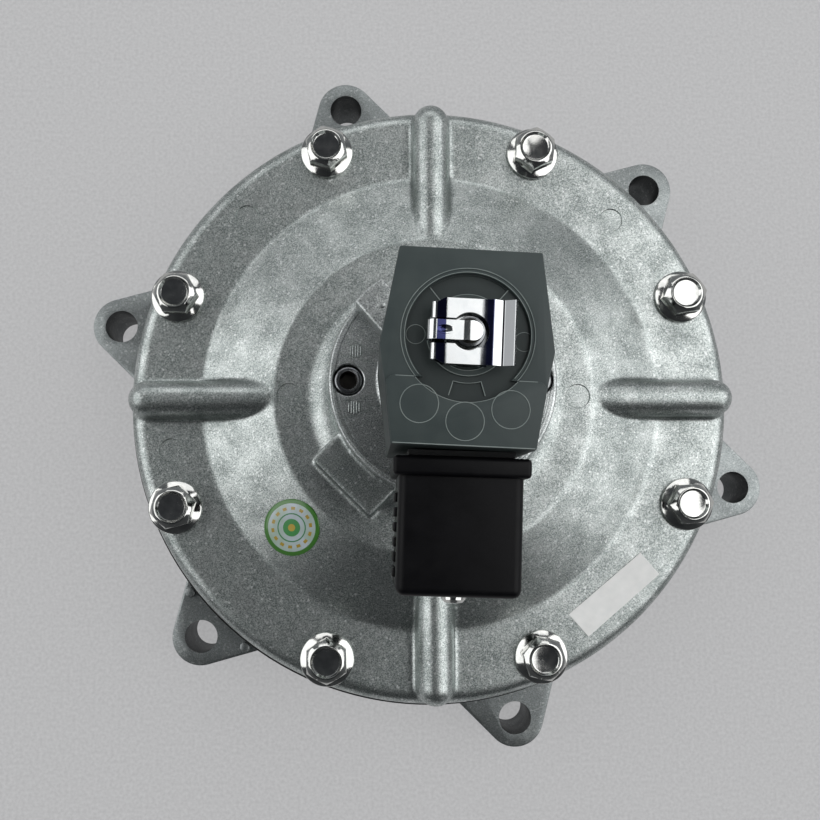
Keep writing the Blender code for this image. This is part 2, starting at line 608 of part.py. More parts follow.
def make_main_diaphragm(moving):
    """The rubber disc between body and cover, and the plates bolted to its middle."""
    rim_low, rim_high = BODY_HEIGHT + GAP, BODY_HEIGHT + GAP + DIAPHRAGM_THICKNESS
    edge_radius = COVER_RADIUS + DIAPHRAGM_OVERHANG
    hole = CENTRE_BOLT_RADIUS + HOLE_PLAY
    plate_edge = SEAT_PAD_RADIUS + DIAPHRAGM_HINGE_INSET
    clamp_edge = INLET_RADIUS - DIAPHRAGM_HINGE_INSET
    middle = (plate_edge + clamp_edge) / 2
    crest = rim_high + CONVOLUTION_RISE
    centre_low, centre_high = DIAPHRAGM_CENTRE, DIAPHRAGM_CENTRE + DIAPHRAGM_WEB
    quarter = (clamp_edge - plate_edge) / 4
    profile = [
        (edge_radius, rim_high), (edge_radius, rim_low), (clamp_edge, rim_low),
        (middle + quarter, crest - 2 * DIAPHRAGM_WEB), (middle, crest - DIAPHRAGM_WEB),
        (middle - quarter, crest - 2 * DIAPHRAGM_WEB), (plate_edge, centre_low), (hole, centre_low),
        (hole, centre_high), (plate_edge, centre_high), (middle - quarter, crest - DIAPHRAGM_WEB / 2),
        (middle, crest), (middle + quarter, crest - DIAPHRAGM_WEB / 2), (clamp_edge, rim_high)]
    rubber = turned("main_diaphragm", profile, BLACK_RUBBER, steps=LARGE_STEPS)
    cut(rubber, hole_circle("diaphragm_holes", BOLT_RADIUS + HOLE_PLAY, rim_low - GAP, rim_high + GAP,
                            BOLT_CIRCLE_RADIUS, BOLT_COUNT, BOLT_FIRST_ANGLE))

    pad_top = SEAT_PAD_BOTTOM + SEAT_PAD_THICKNESS
    turned("seat_pad", [
        (SEAT_PAD_RADIUS, pad_top), (SEAT_PAD_RADIUS, SEAT_PAD_BOTTOM), (hole, SEAT_PAD_BOTTOM),
        (hole, pad_top)], BLACK_RUBBER, moving, steps=MEDIUM_STEPS)
    retainer_top = RETAINER_BOTTOM + RETAINER_THICKNESS
    turned("retainer_plate", [
        (RETAINER_RADIUS, retainer_top), (RETAINER_RADIUS - RETAINER_THICKNESS / 2, RETAINER_BOTTOM),
        (hole, RETAINER_BOTTOM), (hole, retainer_top)], CAST_ALUMINIUM, moving, steps=MEDIUM_STEPS)
    lip_top = UPPER_PLATE_TOP + UPPER_PLATE_LIP
    tray = lip_top - UPPER_PLATE_LIP / 2
    spring_seat = MAIN_SPRING["radius"] + MAIN_SPRING["wire"] + GAP
    turned("upper_plate", [
        (UPPER_PLATE_RADIUS, lip_top), (UPPER_PLATE_RADIUS, UPPER_PLATE_BOTTOM), (hole, UPPER_PLATE_BOTTOM),
        (hole, UPPER_PLATE_TOP), (spring_seat, UPPER_PLATE_TOP), (spring_seat + GAP, tray),
        (UPPER_PLATE_RADIUS - UPPER_PLATE_LIP, tray), (UPPER_PLATE_RADIUS - UPPER_PLATE_LIP / 2, lip_top)],
        CAST_ALUMINIUM, moving, steps=MEDIUM_STEPS)

    head_low = UPPER_PLATE_TOP + GAP
    nut_top = RETAINER_BOTTOM - GAP
    nut_bottom = nut_top - CENTRE_NUT_HEIGHT

    def bolt(builder):
        cylinder(builder, CENTRE_BOLT_FLATS / math.sqrt(3), head_low, head_low + CENTRE_BOLT_HEAD, steps=6)

    def nut(builder):
        cylinder(builder, CENTRE_BOLT_FLATS / math.sqrt(3), nut_bottom, nut_top, steps=6)

    def shank(builder):
        cylinder(builder, CENTRE_BOLT_RADIUS, nut_bottom - CENTRE_BOLT_RADIUS / 3, head_low + GAP, steps=16)

    def nut_hole(builder):
        cylinder(builder, CENTRE_BOLT_RADIUS + THREAD_PLAY, nut_bottom - GAP, nut_top + GAP, steps=16)

    centre_bolt = solid("centre_bolt", bolt, PLATED_STEEL, moving)
    join(centre_bolt, solid("centre_bolt_shank", shank))
    centre_nut = solid("centre_nut", nut, PLATED_STEEL, moving)
    cut(centre_nut, solid("centre_nut_hole", nut_hole))
    spring("main_spring", MAIN_SPRING["wire"], MAIN_SPRING["radius"], MAIN_SPRING["turns"],
           UPPER_PLATE_TOP + GAP, SPRING_BORE_TOP - GAP)


def cover_outside():
    """The cover's outer form: rim, slope, plateau and tower, solid down to its lower face."""
    foot_centre = (TOWER_RADIUS + TOWER_FOOT_FILLET, PLATEAU + TOWER_FOOT_FILLET)
    tower_foot = arc(foot_centre, TOWER_FOOT_FILLET, 180.0, 270.0, 4)
    rim_centre = (COVER_RADIUS - COVER_RIM_FILLET, COVER_FACE - COVER_RIM_FILLET)
    rim = arc(rim_centre, COVER_RIM_FILLET, 90.0, 0.0, 3)
    soft = 0.0020
    fall = soft * DOME_RISE / (SLOPE_FOOT_RADIUS - SLOPE_TOP_RADIUS)
    slope = [
        (SLOPE_TOP_RADIUS - soft, PLATEAU), (SLOPE_TOP_RADIUS + soft, PLATEAU - fall),
        (SLOPE_FOOT_RADIUS - soft, COVER_FACE + fall), (SLOPE_FOOT_RADIUS + soft, COVER_FACE)]
    edge = CAST_EDGE
    flange = [(COVER_RADIUS, COVER_BOTTOM + edge), (COVER_RADIUS - edge, COVER_BOTTOM), (0.0, COVER_BOTTOM)]
    return [(0.0, TOWER_TOP), (TOWER_RADIUS, TOWER_TOP)] + tower_foot + slope + rim + flange


def cover_inside():
    """The chamber over the diaphragm, with the spring's bore and the way to the pilot seat above it."""
    edge = CAST_EDGE
    return [
        (0.0, TOWER_TOP + GAP), (PILOT_SEAT_BORE, TOWER_TOP + GAP), (PILOT_SEAT_BORE, SPRING_BORE_TOP),
        (SPRING_BORE_RADIUS, SPRING_BORE_TOP), (SPRING_BORE_RADIUS, PLATEAU - COVER_WALL),
        (SLOPE_TOP_RADIUS - edge, PLATEAU - COVER_WALL), (SLOPE_FOOT_RADIUS - edge, COVER_FACE - COVER_WALL),
        (INLET_RADIUS - 2 * edge, COVER_BOTTOM + 4 * edge), (INLET_RADIUS, COVER_BOTTOM - GAP),
        (0.0, COVER_BOTTOM - GAP)]


def exhaust_chamber():
    """The ring-shaped chamber round the pilot seat, which leaves the seat's wall standing."""
    edge = CAST_EDGE
    seat_edge = PILOT_SEAT_BORE + PILOT_SEAT_WALL
    return [
        (EXHAUST_CHAMBER_RADIUS, TOWER_TOP + GAP), (EXHAUST_CHAMBER_RADIUS, CHAMBER_FLOOR),
        (seat_edge + PILOT_SEAT_WALL / 2, CHAMBER_FLOOR), (seat_edge, TOWER_TOP - edge),
        (seat_edge - PILOT_SEAT_WALL / 2, TOWER_TOP + GAP)]


def rib_tool():
    """Four full-round bars that run from the plateau's edge to the rim, with round noses and flared feet."""
    half = RIB_WIDTH / 2
    start = SLOPE_TOP_RADIUS - half
    end = RIB_REACH - half

    def bar(name, grow, low, high):
        nose = arc((end, 0.0), half + grow, -90.0, 90.0, 8)
        outline = [(start, -half - grow)] + nose + [(start, half + grow)]
        return add_object(name, plate_mesh(name, outline, low, high))

    crest = bar("rib_crest", 0.0, COVER_FACE - half, PLATEAU - RIB_DROP)
    bevel(crest, half - RIB_CREST_WIDTH / 2, 4)
    foot = bar("rib_foot", RIB_FOOT_FILLET, COVER_FACE - half / 2, COVER_FACE + RIB_FOOT_FILLET)
    bevel(foot, RIB_FOOT_FILLET)
    join(crest, foot)
    return add_object("ribs", ring_of(evaluated_mesh(crest, "rib"), RIB_COUNT))


def make_top_cover():
    """The die-cast cover with its ribs, exhaust block, bolt holes and tappings for the pilot cap."""
    cover = turned("top_cover", cover_outside(), CAST_ALUMINIUM, closed=False, steps=LARGE_STEPS)
    join(cover, rib_tool())
    block_root = (EXHAUST_CHAMBER_RADIUS + TOWER_RADIUS) / 2
    half = EXHAUST_BLOCK_WIDTH / 2
    block = solid("exhaust_block", lambda builder: box(
        builder, (block_root, -half, PLATEAU - COVER_WALL / 2),
        (EXHAUST_BLOCK_REACH, half, PLATEAU + EXHAUST_BLOCK_HEIGHT), EXHAUST_ANGLE))
    bevel(block, EXHAUST_BLOCK_EDGE)
    fillet = EXHAUST_FOOT_FILLET
    foot = solid("exhaust_foot", lambda builder: box(
        builder, (block_root, -half - fillet, PLATEAU - COVER_WALL / 2),
        (EXHAUST_BLOCK_REACH + fillet, half + fillet, PLATEAU + fillet), EXHAUST_ANGLE))
    bevel(foot, fillet)
    join(cover, block)
    join(cover, foot)
    cut(cover, turned("cover_chamber", cover_inside(), closed=False, steps=LARGE_STEPS))
    cut(cover, turned("exhaust_chamber", exhaust_chamber(), steps=MEDIUM_STEPS))
    duct_left = -EXHAUST_DUCT_WIDTH / 2 - EXHAUST_DUCT_OFFSET
    duct_right = duct_left + EXHAUST_DUCT_WIDTH
    duct_low = CHAMBER_FLOOR + GAP
    duct_high = duct_low + EXHAUST_DUCT_HEIGHT
    beyond = EXHAUST_BLOCK_REACH + EXHAUST_DUCT_WIDTH

    def duct(builder):
        box(builder, (EXHAUST_CHAMBER_RADIUS - PILOT_SEAT_WALL, duct_left, duct_low),
            (EXHAUST_MOUTH_START + GAP, duct_right, duct_high), EXHAUST_ANGLE)

    def mouth(builder):
        flare = EXHAUST_MOUTH_FLARE
        box(builder, (EXHAUST_MOUTH_START, duct_left - flare, PLATEAU + EXHAUST_MOUTH_SILL),
            (beyond, duct_right + flare, duct_high + flare), EXHAUST_ANGLE)

    way_out = solid("exhaust_duct", duct)
    join(way_out, solid("exhaust_mouth", mouth))
    cut(cover, way_out)
    cut(cover, hole_circle("cover_bolt_holes", BOLT_RADIUS + HOLE_PLAY, COVER_BOTTOM - GAP, COVER_FACE + GAP,
                           BOLT_CIRCLE_RADIUS, BOLT_COUNT, BOLT_FIRST_ANGLE))
    tapping_end = CAP_TOP - CAP_SCREW_HEAD_HEIGHT - CAP_SCREW_LENGTH - TAPPING_SPARE
    cut(cover, hole_circle("cap_screw_tappings", CAP_SCREW_RADIUS + THREAD_PLAY, tapping_end, TOWER_TOP + GAP,
                           CAP_SCREW_CIRCLE, CAP_SCREW_COUNT, 0.0))


def make_cover_bolts():
    """Eight flanged hexagon bolts with dished heads, which share one mesh."""
    flange_low = COVER_FACE + GAP
    flange_high = flange_low + BOLT_FLANGE_THICKNESS
    head_top = flange_low + BOLT_HEAD_HEIGHT
    shank_end = flange_low - BOLT_LENGTH
    hex_radius = BOLT_FLATS / math.sqrt(3)
    flange_crown = flange_high + BOLT_FLANGE_THICKNESS / 2
    master = turned("bolt_flange", [
        (0.0, flange_crown), (hex_radius, flange_crown), (BOLT_FLANGE_RADIUS, flange_high),
        (BOLT_FLANGE_RADIUS, flange_low), (BOLT_RADIUS, flange_low), (BOLT_RADIUS, shank_end),
        (0.0, shank_end)], closed=False)

    def crown(builder):
        cylinder(builder, hex_radius * 1.2, flange_high - GAP, head_top, steps=12,
                 top_radius=BOLT_FLATS / 2 - 0.0004)

    def dish(builder):
        cylinder(builder, BOLT_DISH_RADIUS - BOLT_DISH_DEPTH, head_top - BOLT_DISH_DEPTH, head_top + GAP,
                 steps=12, top_radius=BOLT_DISH_RADIUS)

    hexagon = solid("bolt_hexagon", lambda builder: cylinder(
        builder, hex_radius, flange_high, head_top, steps=6))
    boolean(hexagon, solid("bolt_crown", crown), "INTERSECT")
    join(master, hexagon)
    cut(master, solid("bolt_dish", dish))
    mesh = evaluated_mesh(master, "cover_bolt")
    mesh.materials.clear()
    for i in range(BOLT_COUNT):
        angle = math.radians(BOLT_FIRST_ANGLE + 360.0 * i / BOLT_COUNT)
        copy = mesh.copy()
        bolt = add_object(f"cover_bolt_{i + 1}", copy, PLATED_STEEL)
        bolt.location = (BOLT_CIRCLE_RADIUS * math.cos(angle), BOLT_CIRCLE_RADIUS * math.sin(angle), 0.0)
        bolt.rotation_euler.z = angle * BOLT_TURN_SPREAD


def make_pilot_diaphragm(moving):
    """The small rubber disc under the cap, the disc that it carries, and the spring above."""
    low = TOWER_TOP + GAP
    high = low + PILOT_DIAPHRAGM_THICKNESS
    hole = PILOT_SPIGOT_RADIUS + GAP
    rubber = turned("pilot_diaphragm", [(TOWER_RADIUS, high), (TOWER_RADIUS, low), (hole, low), (hole, high)],
                    BLACK_RUBBER, steps=MEDIUM_STEPS)
    cut(rubber, hole_circle("pilot_diaphragm_holes", CAP_SCREW_RADIUS + HOLE_PLAY, low - GAP, high + GAP,
                            CAP_SCREW_CIRCLE, CAP_SCREW_COUNT, 0.0))
    disc_top = PILOT_DISC_BOTTOM + PILOT_DISC_THICKNESS
    guide = PILOT_SPRING["radius"] - PILOT_SPRING["wire"] - GAP
    turned("pilot_disc", [
        (0.0, disc_top + PILOT_DISC_THICKNESS), (guide, disc_top + PILOT_DISC_THICKNESS), (guide, disc_top),
        (PILOT_DISC_RADIUS, disc_top), (PILOT_DISC_RADIUS, PILOT_DISC_BOTTOM),
        (PILOT_SPIGOT_RADIUS, PILOT_DISC_BOTTOM), (PILOT_SPIGOT_RADIUS, low), (0.0, low)],
        BRASS, moving, closed=False)
    spring("pilot_spring", PILOT_SPRING["wire"], PILOT_SPRING["radius"], PILOT_SPRING["turns"],
           disc_top + GAP, CAP_CHAMBER_TOP - GAP)


def make_pilot_cap():
    """The round cap: chamber below, stem boss and raised vent bar above, four counterbores."""
    edge = CAP_EDGE
    boss_foot = arc((CAP_BOSS_FOOT, CAP_TOP + 2 * edge), 2 * edge, 270.0, 200.0, 3)
    profile = [
        (CAP_BORE_RADIUS + edge, CAP_BOSS_TOP), (CAP_BOSS_RADIUS - edge, CAP_BOSS_TOP),
        (CAP_BOSS_RADIUS, CAP_BOSS_TOP - edge)] + boss_foot[::-1] + [
        (CAP_RADIUS - edge, CAP_TOP), (CAP_RADIUS, CAP_TOP - edge), (CAP_RADIUS, CAP_BOTTOM),
        (CAP_CHAMBER_RADIUS, CAP_BOTTOM), (CAP_CHAMBER_RADIUS - edge, CAP_CHAMBER_TOP),
        (PILOT_JET_RADIUS, CAP_CHAMBER_TOP), (PILOT_JET_RADIUS, JET_TOP),
        (PILOT_JET_RADIUS + PILOT_JET_WALL / 3, JET_TOP), (PILOT_JET_RADIUS + PILOT_JET_WALL, CAP_BORE_FLOOR),
        (CAP_BORE_RADIUS, CAP_BORE_FLOOR), (CAP_BORE_RADIUS, CAP_BOSS_TOP - edge)]
    cap = turned("pilot_cap", profile, CAST_ALUMINIUM, steps=MEDIUM_STEPS)
    bar_low, bar_high = CAP_TOP - edge, CAP_TOP + CAP_BAR_HEIGHT
    bar_root = (CAP_BORE_RADIUS + CAP_BOSS_RADIUS) / 2
    bar_half = CAP_BAR_WIDTH / 2
    bar = solid("vent_bar", lambda builder: box(
        builder, (bar_root, -bar_half, bar_low), (CAP_RADIUS + 2 * edge, bar_half, bar_high), CAP_BAR_ANGLE))
    boolean(bar, solid("vent_bar_end", lambda builder: cylinder(
        builder, CAP_RADIUS, bar_low - edge, bar_high + edge, steps=MEDIUM_STEPS)), "INTERSECT")
    join(cap, bar)
    counterbore_low = CAP_TOP - CAP_SCREW_HEAD_HEIGHT - GAP
    cut(cap, hole_circle("counterbores", CAP_COUNTERBORE_RADIUS, counterbore_low, CAP_TOP + edge,
                         CAP_SCREW_CIRCLE, CAP_SCREW_COUNT, 0.0, 16))
    cut(cap, hole_circle("cap_screw_holes", CAP_SCREW_RADIUS + HOLE_PLAY, CAP_BOTTOM - edge, CAP_TOP,
                         CAP_SCREW_CIRCLE, CAP_SCREW_COUNT, 0.0))
    vent_level = (CAP_TOP + bar_high) / 2
    vent = solid("vent_hole", lambda builder: cylinder(
        builder, CAP_VENT_RADIUS, CAP_BORE_RADIUS - edge, CAP_RADIUS + edge, steps=10))
    vent.data.transform(Matrix.Rotation(math.radians(CAP_BAR_ANGLE), 4, "Z")
                        @ Matrix.Translation((0.0, 0.0, vent_level)) @ Matrix.Rotation(math.pi / 2, 4, "Y"))
    cut(cap, vent)


def make_pilot_cap_screws():
    """Four socket head screws that share one mesh."""
    top = CAP_TOP
    low = top - CAP_SCREW_HEAD_HEIGHT
    end = low - CAP_SCREW_LENGTH
    edge = 0.0004
    master = turned("cap_screw", [
        (0.0, top), (CAP_SCREW_HEAD_RADIUS - edge, top), (CAP_SCREW_HEAD_RADIUS, top - edge),
        (CAP_SCREW_HEAD_RADIUS, low), (CAP_SCREW_RADIUS, low), (CAP_SCREW_RADIUS, end + edge),
        (CAP_SCREW_RADIUS - edge, end), (0.0, end)], closed=False, steps=12)
    cut(master, solid("cap_screw_socket", lambda builder: cylinder(
        builder, CAP_SCREW_SOCKET_FLATS / math.sqrt(3), top - CAP_SCREW_SOCKET_DEPTH, top + edge, steps=6)))
    mesh = evaluated_mesh(master, "pilot_cap_screw")
    for i in range(CAP_SCREW_COUNT):
        angle = math.radians(360.0 * i / CAP_SCREW_COUNT)
        screw = add_object(f"pilot_cap_screw_{i + 1}", mesh.copy(), PLATED_STEEL)
        screw.location = (CAP_SCREW_CIRCLE * math.cos(angle), CAP_SCREW_CIRCLE * math.sin(angle), 0.0)
        screw.rotation_euler.z = angle + math.radians(CAP_SCREW_TURN)


def make_stem():
    """The sealed stem tube with its hexagon, and the neck and head that the clip grips."""
    spigot_end = STEM_HEX_BOTTOM - STEM_SPIGOT_LENGTH
    groove_low = spigot_end + STEM_RING_SECTION / 2
    groove_high = groove_low + STEM_RING_SECTION + GROOVE_PLAY
    groove_radius = CAP_BORE_RADIUS - STEM_RING_SECTION - GAP / 2
    edge = 0.0006
    head_top = STEM_NECK_TOP + STEM_HEAD_HEIGHT
    stem = turned("solenoid_stem", [
        (0.0, head_top), (STEM_HEAD_RADIUS - edge, head_top), (STEM_HEAD_RADIUS, head_top - edge),
        (STEM_HEAD_RADIUS, STEM_NECK_TOP), (STEM_NECK_RADIUS, STEM_NECK_TOP),
        (STEM_NECK_RADIUS, STEM_SHOULDER), (STEM_RADIUS - edge, STEM_SHOULDER),
        (STEM_RADIUS, STEM_SHOULDER - edge), (STEM_RADIUS, STEM_HEX_BOTTOM),
        (STEM_SPIGOT_RADIUS, STEM_HEX_BOTTOM), (STEM_SPIGOT_RADIUS, groove_high),
        (groove_radius, groove_high), (groove_radius, groove_low),
        (STEM_SPIGOT_RADIUS, groove_low), (STEM_SPIGOT_RADIUS, spigot_end),
        (STEM_BORE_RADIUS, spigot_end), (STEM_BORE_RADIUS, STEM_BORE_TOP), (0.0, STEM_BORE_TOP)],
        PLATED_STEEL, closed=False)
    hexagon = solid("stem_hexagon", lambda builder: cylinder(
        builder, STEM_HEX_FLATS / math.sqrt(3), STEM_HEX_BOTTOM, STEM_HEX_TOP, steps=6))
    bore = solid("stem_hexagon_bore", lambda builder: cylinder(
        builder, (STEM_BORE_RADIUS + STEM_RADIUS) / 2, STEM_HEX_BOTTOM - edge, STEM_HEX_TOP + edge))
    cut(hexagon, bore)
    join(stem, hexagon)
    o_ring("stem_o_ring", CAP_BORE_RADIUS - GAP / 2 - STEM_RING_SECTION / 2, STEM_RING_SECTION - GAP,
           (groove_low + groove_high) / 2, steps=SMALL_STEPS)
    core_radius = STEM_BORE_RADIUS - CORE_PLAY
    ring_radius = core_radius - 2 * SHADING_RING_SECTION
    ring_play = SHADING_RING_SECTION / 2 + GAP
    turned("fixed_core", [
        (0.0, CORE_TOP), (core_radius, CORE_TOP), (core_radius, CORE_BOTTOM),
        (ring_radius + ring_play, CORE_BOTTOM), (ring_radius + ring_play, CORE_BOTTOM + 2 * ring_play),
        (ring_radius - ring_play, CORE_BOTTOM + 2 * ring_play), (ring_radius - ring_play, CORE_BOTTOM),
        (0.0, CORE_BOTTOM)], DARK_STEEL, closed=False)
    half = SHADING_RING_SECTION / 2
    ring_low = CORE_BOTTOM + GAP
    ring_high = ring_low + SHADING_RING_SECTION
    turned("shading_ring", [
        (ring_radius + half, ring_high), (ring_radius + half, ring_low), (ring_radius - half, ring_low),
        (ring_radius - half, ring_high)], COPPER)


def make_plunger(moving):
    """The slotted plunger with its rubber seal, and the spring in its pocket."""
    radius = STEM_BORE_RADIUS - CORE_PLAY
    seal_top = PLUNGER_BOTTOM + PLUNGER_SEAL_THICKNESS
    seal_pocket = PLUNGER_SEAL_RADIUS + GAP
    body_low = PLUNGER_BOTTOM + GAP
    pocket_floor = PLUNGER_TOP - PLUNGER_POCKET_DEPTH
    plunger = turned("plunger", [
        (0.0, pocket_floor), (PLUNGER_POCKET_RADIUS, pocket_floor), (PLUNGER_POCKET_RADIUS, PLUNGER_TOP),
        (radius, PLUNGER_TOP), (radius, body_low), (seal_pocket, body_low), (seal_pocket, seal_top + GAP),
        (0.0, seal_top + GAP)], DARK_STEEL, moving, closed=False)

    def slots(builder):
        half = PLUNGER_SLOT_WIDTH / 2
        for middle in (-radius, radius):
            box(builder, (middle - half, -half, body_low - GAP), (middle + half, half, PLUNGER_TOP + GAP))

    cut(plunger, solid("plunger_slots", slots))
    turned("plunger_seal", [
        (0.0, seal_top), (PLUNGER_SEAL_RADIUS, seal_top), (PLUNGER_SEAL_RADIUS, PLUNGER_BOTTOM),
        (0.0, PLUNGER_BOTTOM)], BLACK_RUBBER, moving, closed=False)
    spring("plunger_spring", PLUNGER_SPRING["wire"], PLUNGER_SPRING["radius"], PLUNGER_SPRING["turns"],
           pocket_floor + GAP, CORE_BOTTOM - GAP)


def coil_outline(inset=0.0):
    """The coil's plan: a hexagon with a long tail towards the connector."""
    right = [
        (COIL_TOP_HALF_WIDTH - inset, COIL_TOP_END - inset), (COIL_WAIST_HALF_WIDTH - inset, 0.0),
        (COIL_SHOULDER_HALF_WIDTH - inset, COIL_SHOULDER_Y), (COIL_END_HALF_WIDTH - inset, inset - COIL_END)]
    left = [(-x, y) for x, y in reversed(right)]
    return right + left


def make_coil_housing(turning):
    """The coil's moulding: block, raised pad towards the plug, and a well with a rim and a hub."""
    housing = add_object("coil_housing", plate_mesh("coil_housing", coil_outline(), COIL_BOTTOM, COIL_TOP),
                         COIL_RESIN, turning)
    bevel(housing, COIL_EDGE)
    end_half, end_y = COIL_END_HALF_WIDTH - COIL_PAD_INSET, COIL_PAD_INSET - COIL_END
    shoulder_half = COIL_SHOULDER_HALF_WIDTH - 2 * COIL_PAD_INSET
    pad_outline = [(shoulder_half, COIL_SHOULDER_Y), (end_half, end_y), (-end_half, end_y),
                   (-shoulder_half, COIL_SHOULDER_Y)]
    join(housing, add_object("coil_pad", plate_mesh(
        "coil_pad", pad_outline, COIL_TOP - COIL_PAD_SINK, COIL_TOP + COIL_PAD_RISE), None, turning))
    well_floor = COIL_TOP - COIL_WELL_DEPTH
    cut(housing, solid("coil_well", lambda builder: cylinder(
        builder, COIL_WELL_RADIUS, well_floor, COIL_TOP + COIL_SKIN, steps=MEDIUM_STEPS), None, turning))

    def raised_ring(name, outer, high):
        low = well_floor - COIL_PAD_SINK
        inner = outer - COIL_RIM_WIDTH
        edge = COIL_RIM_WIDTH / 4
        return turned(name, [
            (outer - edge, high), (outer, high - edge), (outer, low), (inner, low), (inner, high - edge),
            (inner + edge, high)], None, turning, steps=MEDIUM_STEPS)

    rim = raised_ring("coil_rim", COIL_WELL_RADIUS + GAP, COIL_TOP + COIL_RIM_RISE)
    boolean(rim, solid("rim_side", lambda builder: box(
        builder, (-COIL_END, COIL_SHOULDER_Y - GAP, well_floor - 2 * COIL_PAD_SINK),
        (COIL_END, COIL_END, COIL_TOP + COIL_SKIN)), None, turning), "INTERSECT")
    join(housing, rim)
    join(housing, raised_ring("coil_hub", COIL_HUB_RADIUS, COIL_TOP))
    return housing


def make_coil(turning):
    """The moulded coil: housing, bobbin, winding, pole plates and terminal pins."""
    bore = STEM_RADIUS + COIL_BORE_PLAY
    housing = make_coil_housing(turning)
    cavity_radius = WINDING_RADIUS + BOBBIN_WALL
    cavity_low, cavity_high = COIL_BOTTOM + COIL_SKIN, COIL_TOP - COIL_SKIN
    cavity = turned("coil_cavity", [
        (0.0, COIL_TOP + COIL_SKIN), (bore, COIL_TOP + COIL_SKIN), (bore, cavity_high),
        (cavity_radius, cavity_high), (cavity_radius, cavity_low), (bore, cavity_low),
        (bore, COIL_BOTTOM - COIL_SKIN), (0.0, COIL_BOTTOM - COIL_SKIN)], None, turning, closed=False,
        steps=MEDIUM_STEPS)
    cut(housing, cavity)
    outer = cavity_radius - GAP
    plate_high = cavity_low + GAP + FLUX_PLATE_THICKNESS
    plate_low = cavity_high - GAP - FLUX_PLATE_THICKNESS
    inner = bore + GAP
    for name, low in (("flux_plate_lower", cavity_low + GAP), ("flux_plate_upper", plate_low)):
        high = low + FLUX_PLATE_THICKNESS
        turned(name, [(outer, high), (outer, low), (inner, low), (inner, high)], DARK_STEEL, turning)
    low, high = plate_high + GAP, plate_low - GAP
    spool = inner + BOBBIN_WALL
    turned("coil_bobbin", [
        (outer, high), (outer, high - BOBBIN_WALL), (spool, high - BOBBIN_WALL), (spool, low + BOBBIN_WALL),
        (outer, low + BOBBIN_WALL), (outer, low), (inner, low), (inner, high)], PALE_PLASTIC, turning)
    wound_low, wound_high = low + BOBBIN_WALL + GAP, high - BOBBIN_WALL - GAP
    turned("coil_winding", [
        (WINDING_RADIUS, wound_high), (WINDING_RADIUS, wound_low), (spool + GAP, wound_low),
        (spool + GAP, wound_high)], COPPER, turning)
    pin_root = -COIL_END + 0.0050
    pin_end = -COIL_END - PIN_LENGTH

    def pin_builder(centre, upright):
        half_x = PIN_THICKNESS / 2 if upright else PIN_WIDTH / 2
        half_z = PIN_WIDTH / 2 if upright else PIN_THICKNESS / 2
        low = (centre[0] - half_x, pin_end, centre[1] - half_z)
        high = (centre[0] + half_x, pin_root, centre[1] + half_z)
        return low, high

    pins = {
        "terminal_pin_1": ((-PIN_SPACING / 2, CONNECTOR_MIDDLE), True),
        "terminal_pin_2": ((PIN_SPACING / 2, CONNECTOR_MIDDLE), True),
        "earth_pin": ((0.0, CONNECTOR_MIDDLE - PIN_SPACING / 2), False)}
    for name, (centre, upright) in pins.items():
        low, high = pin_builder(centre, upright)
        solid(name, lambda builder: box(builder, low, high), PLATED_STEEL, turning)
        slack = Vector((GAP, GAP, GAP))
        cut(housing, solid(name + "_slot", lambda builder: box(
            builder, Vector(low) - slack, Vector(high) + slack), None, turning))
    cut(housing, plug_axis_bore("connector_tapping", CONNECTOR_SCREW_RADIUS + THREAD_PLAY,
                                COIL_END - CONNECTOR_SCREW_DEPTH - GAP, COIL_END + GAP, turning))


def plug_axis_bore(name, radius, near, far, turning):
    """A cutter along the plug's axis, between two distances from the valve's axis towards -Y."""
    bore = solid(name, lambda builder: cylinder(builder, radius, near, far, steps=12), None, turning)
    to_plug = Matrix.Translation((0.0, 0.0, CONNECTOR_MIDDLE))
    bore.data.transform(to_plug @ Matrix.Rotation(math.pi / 2, 4, "X"))
    return bore


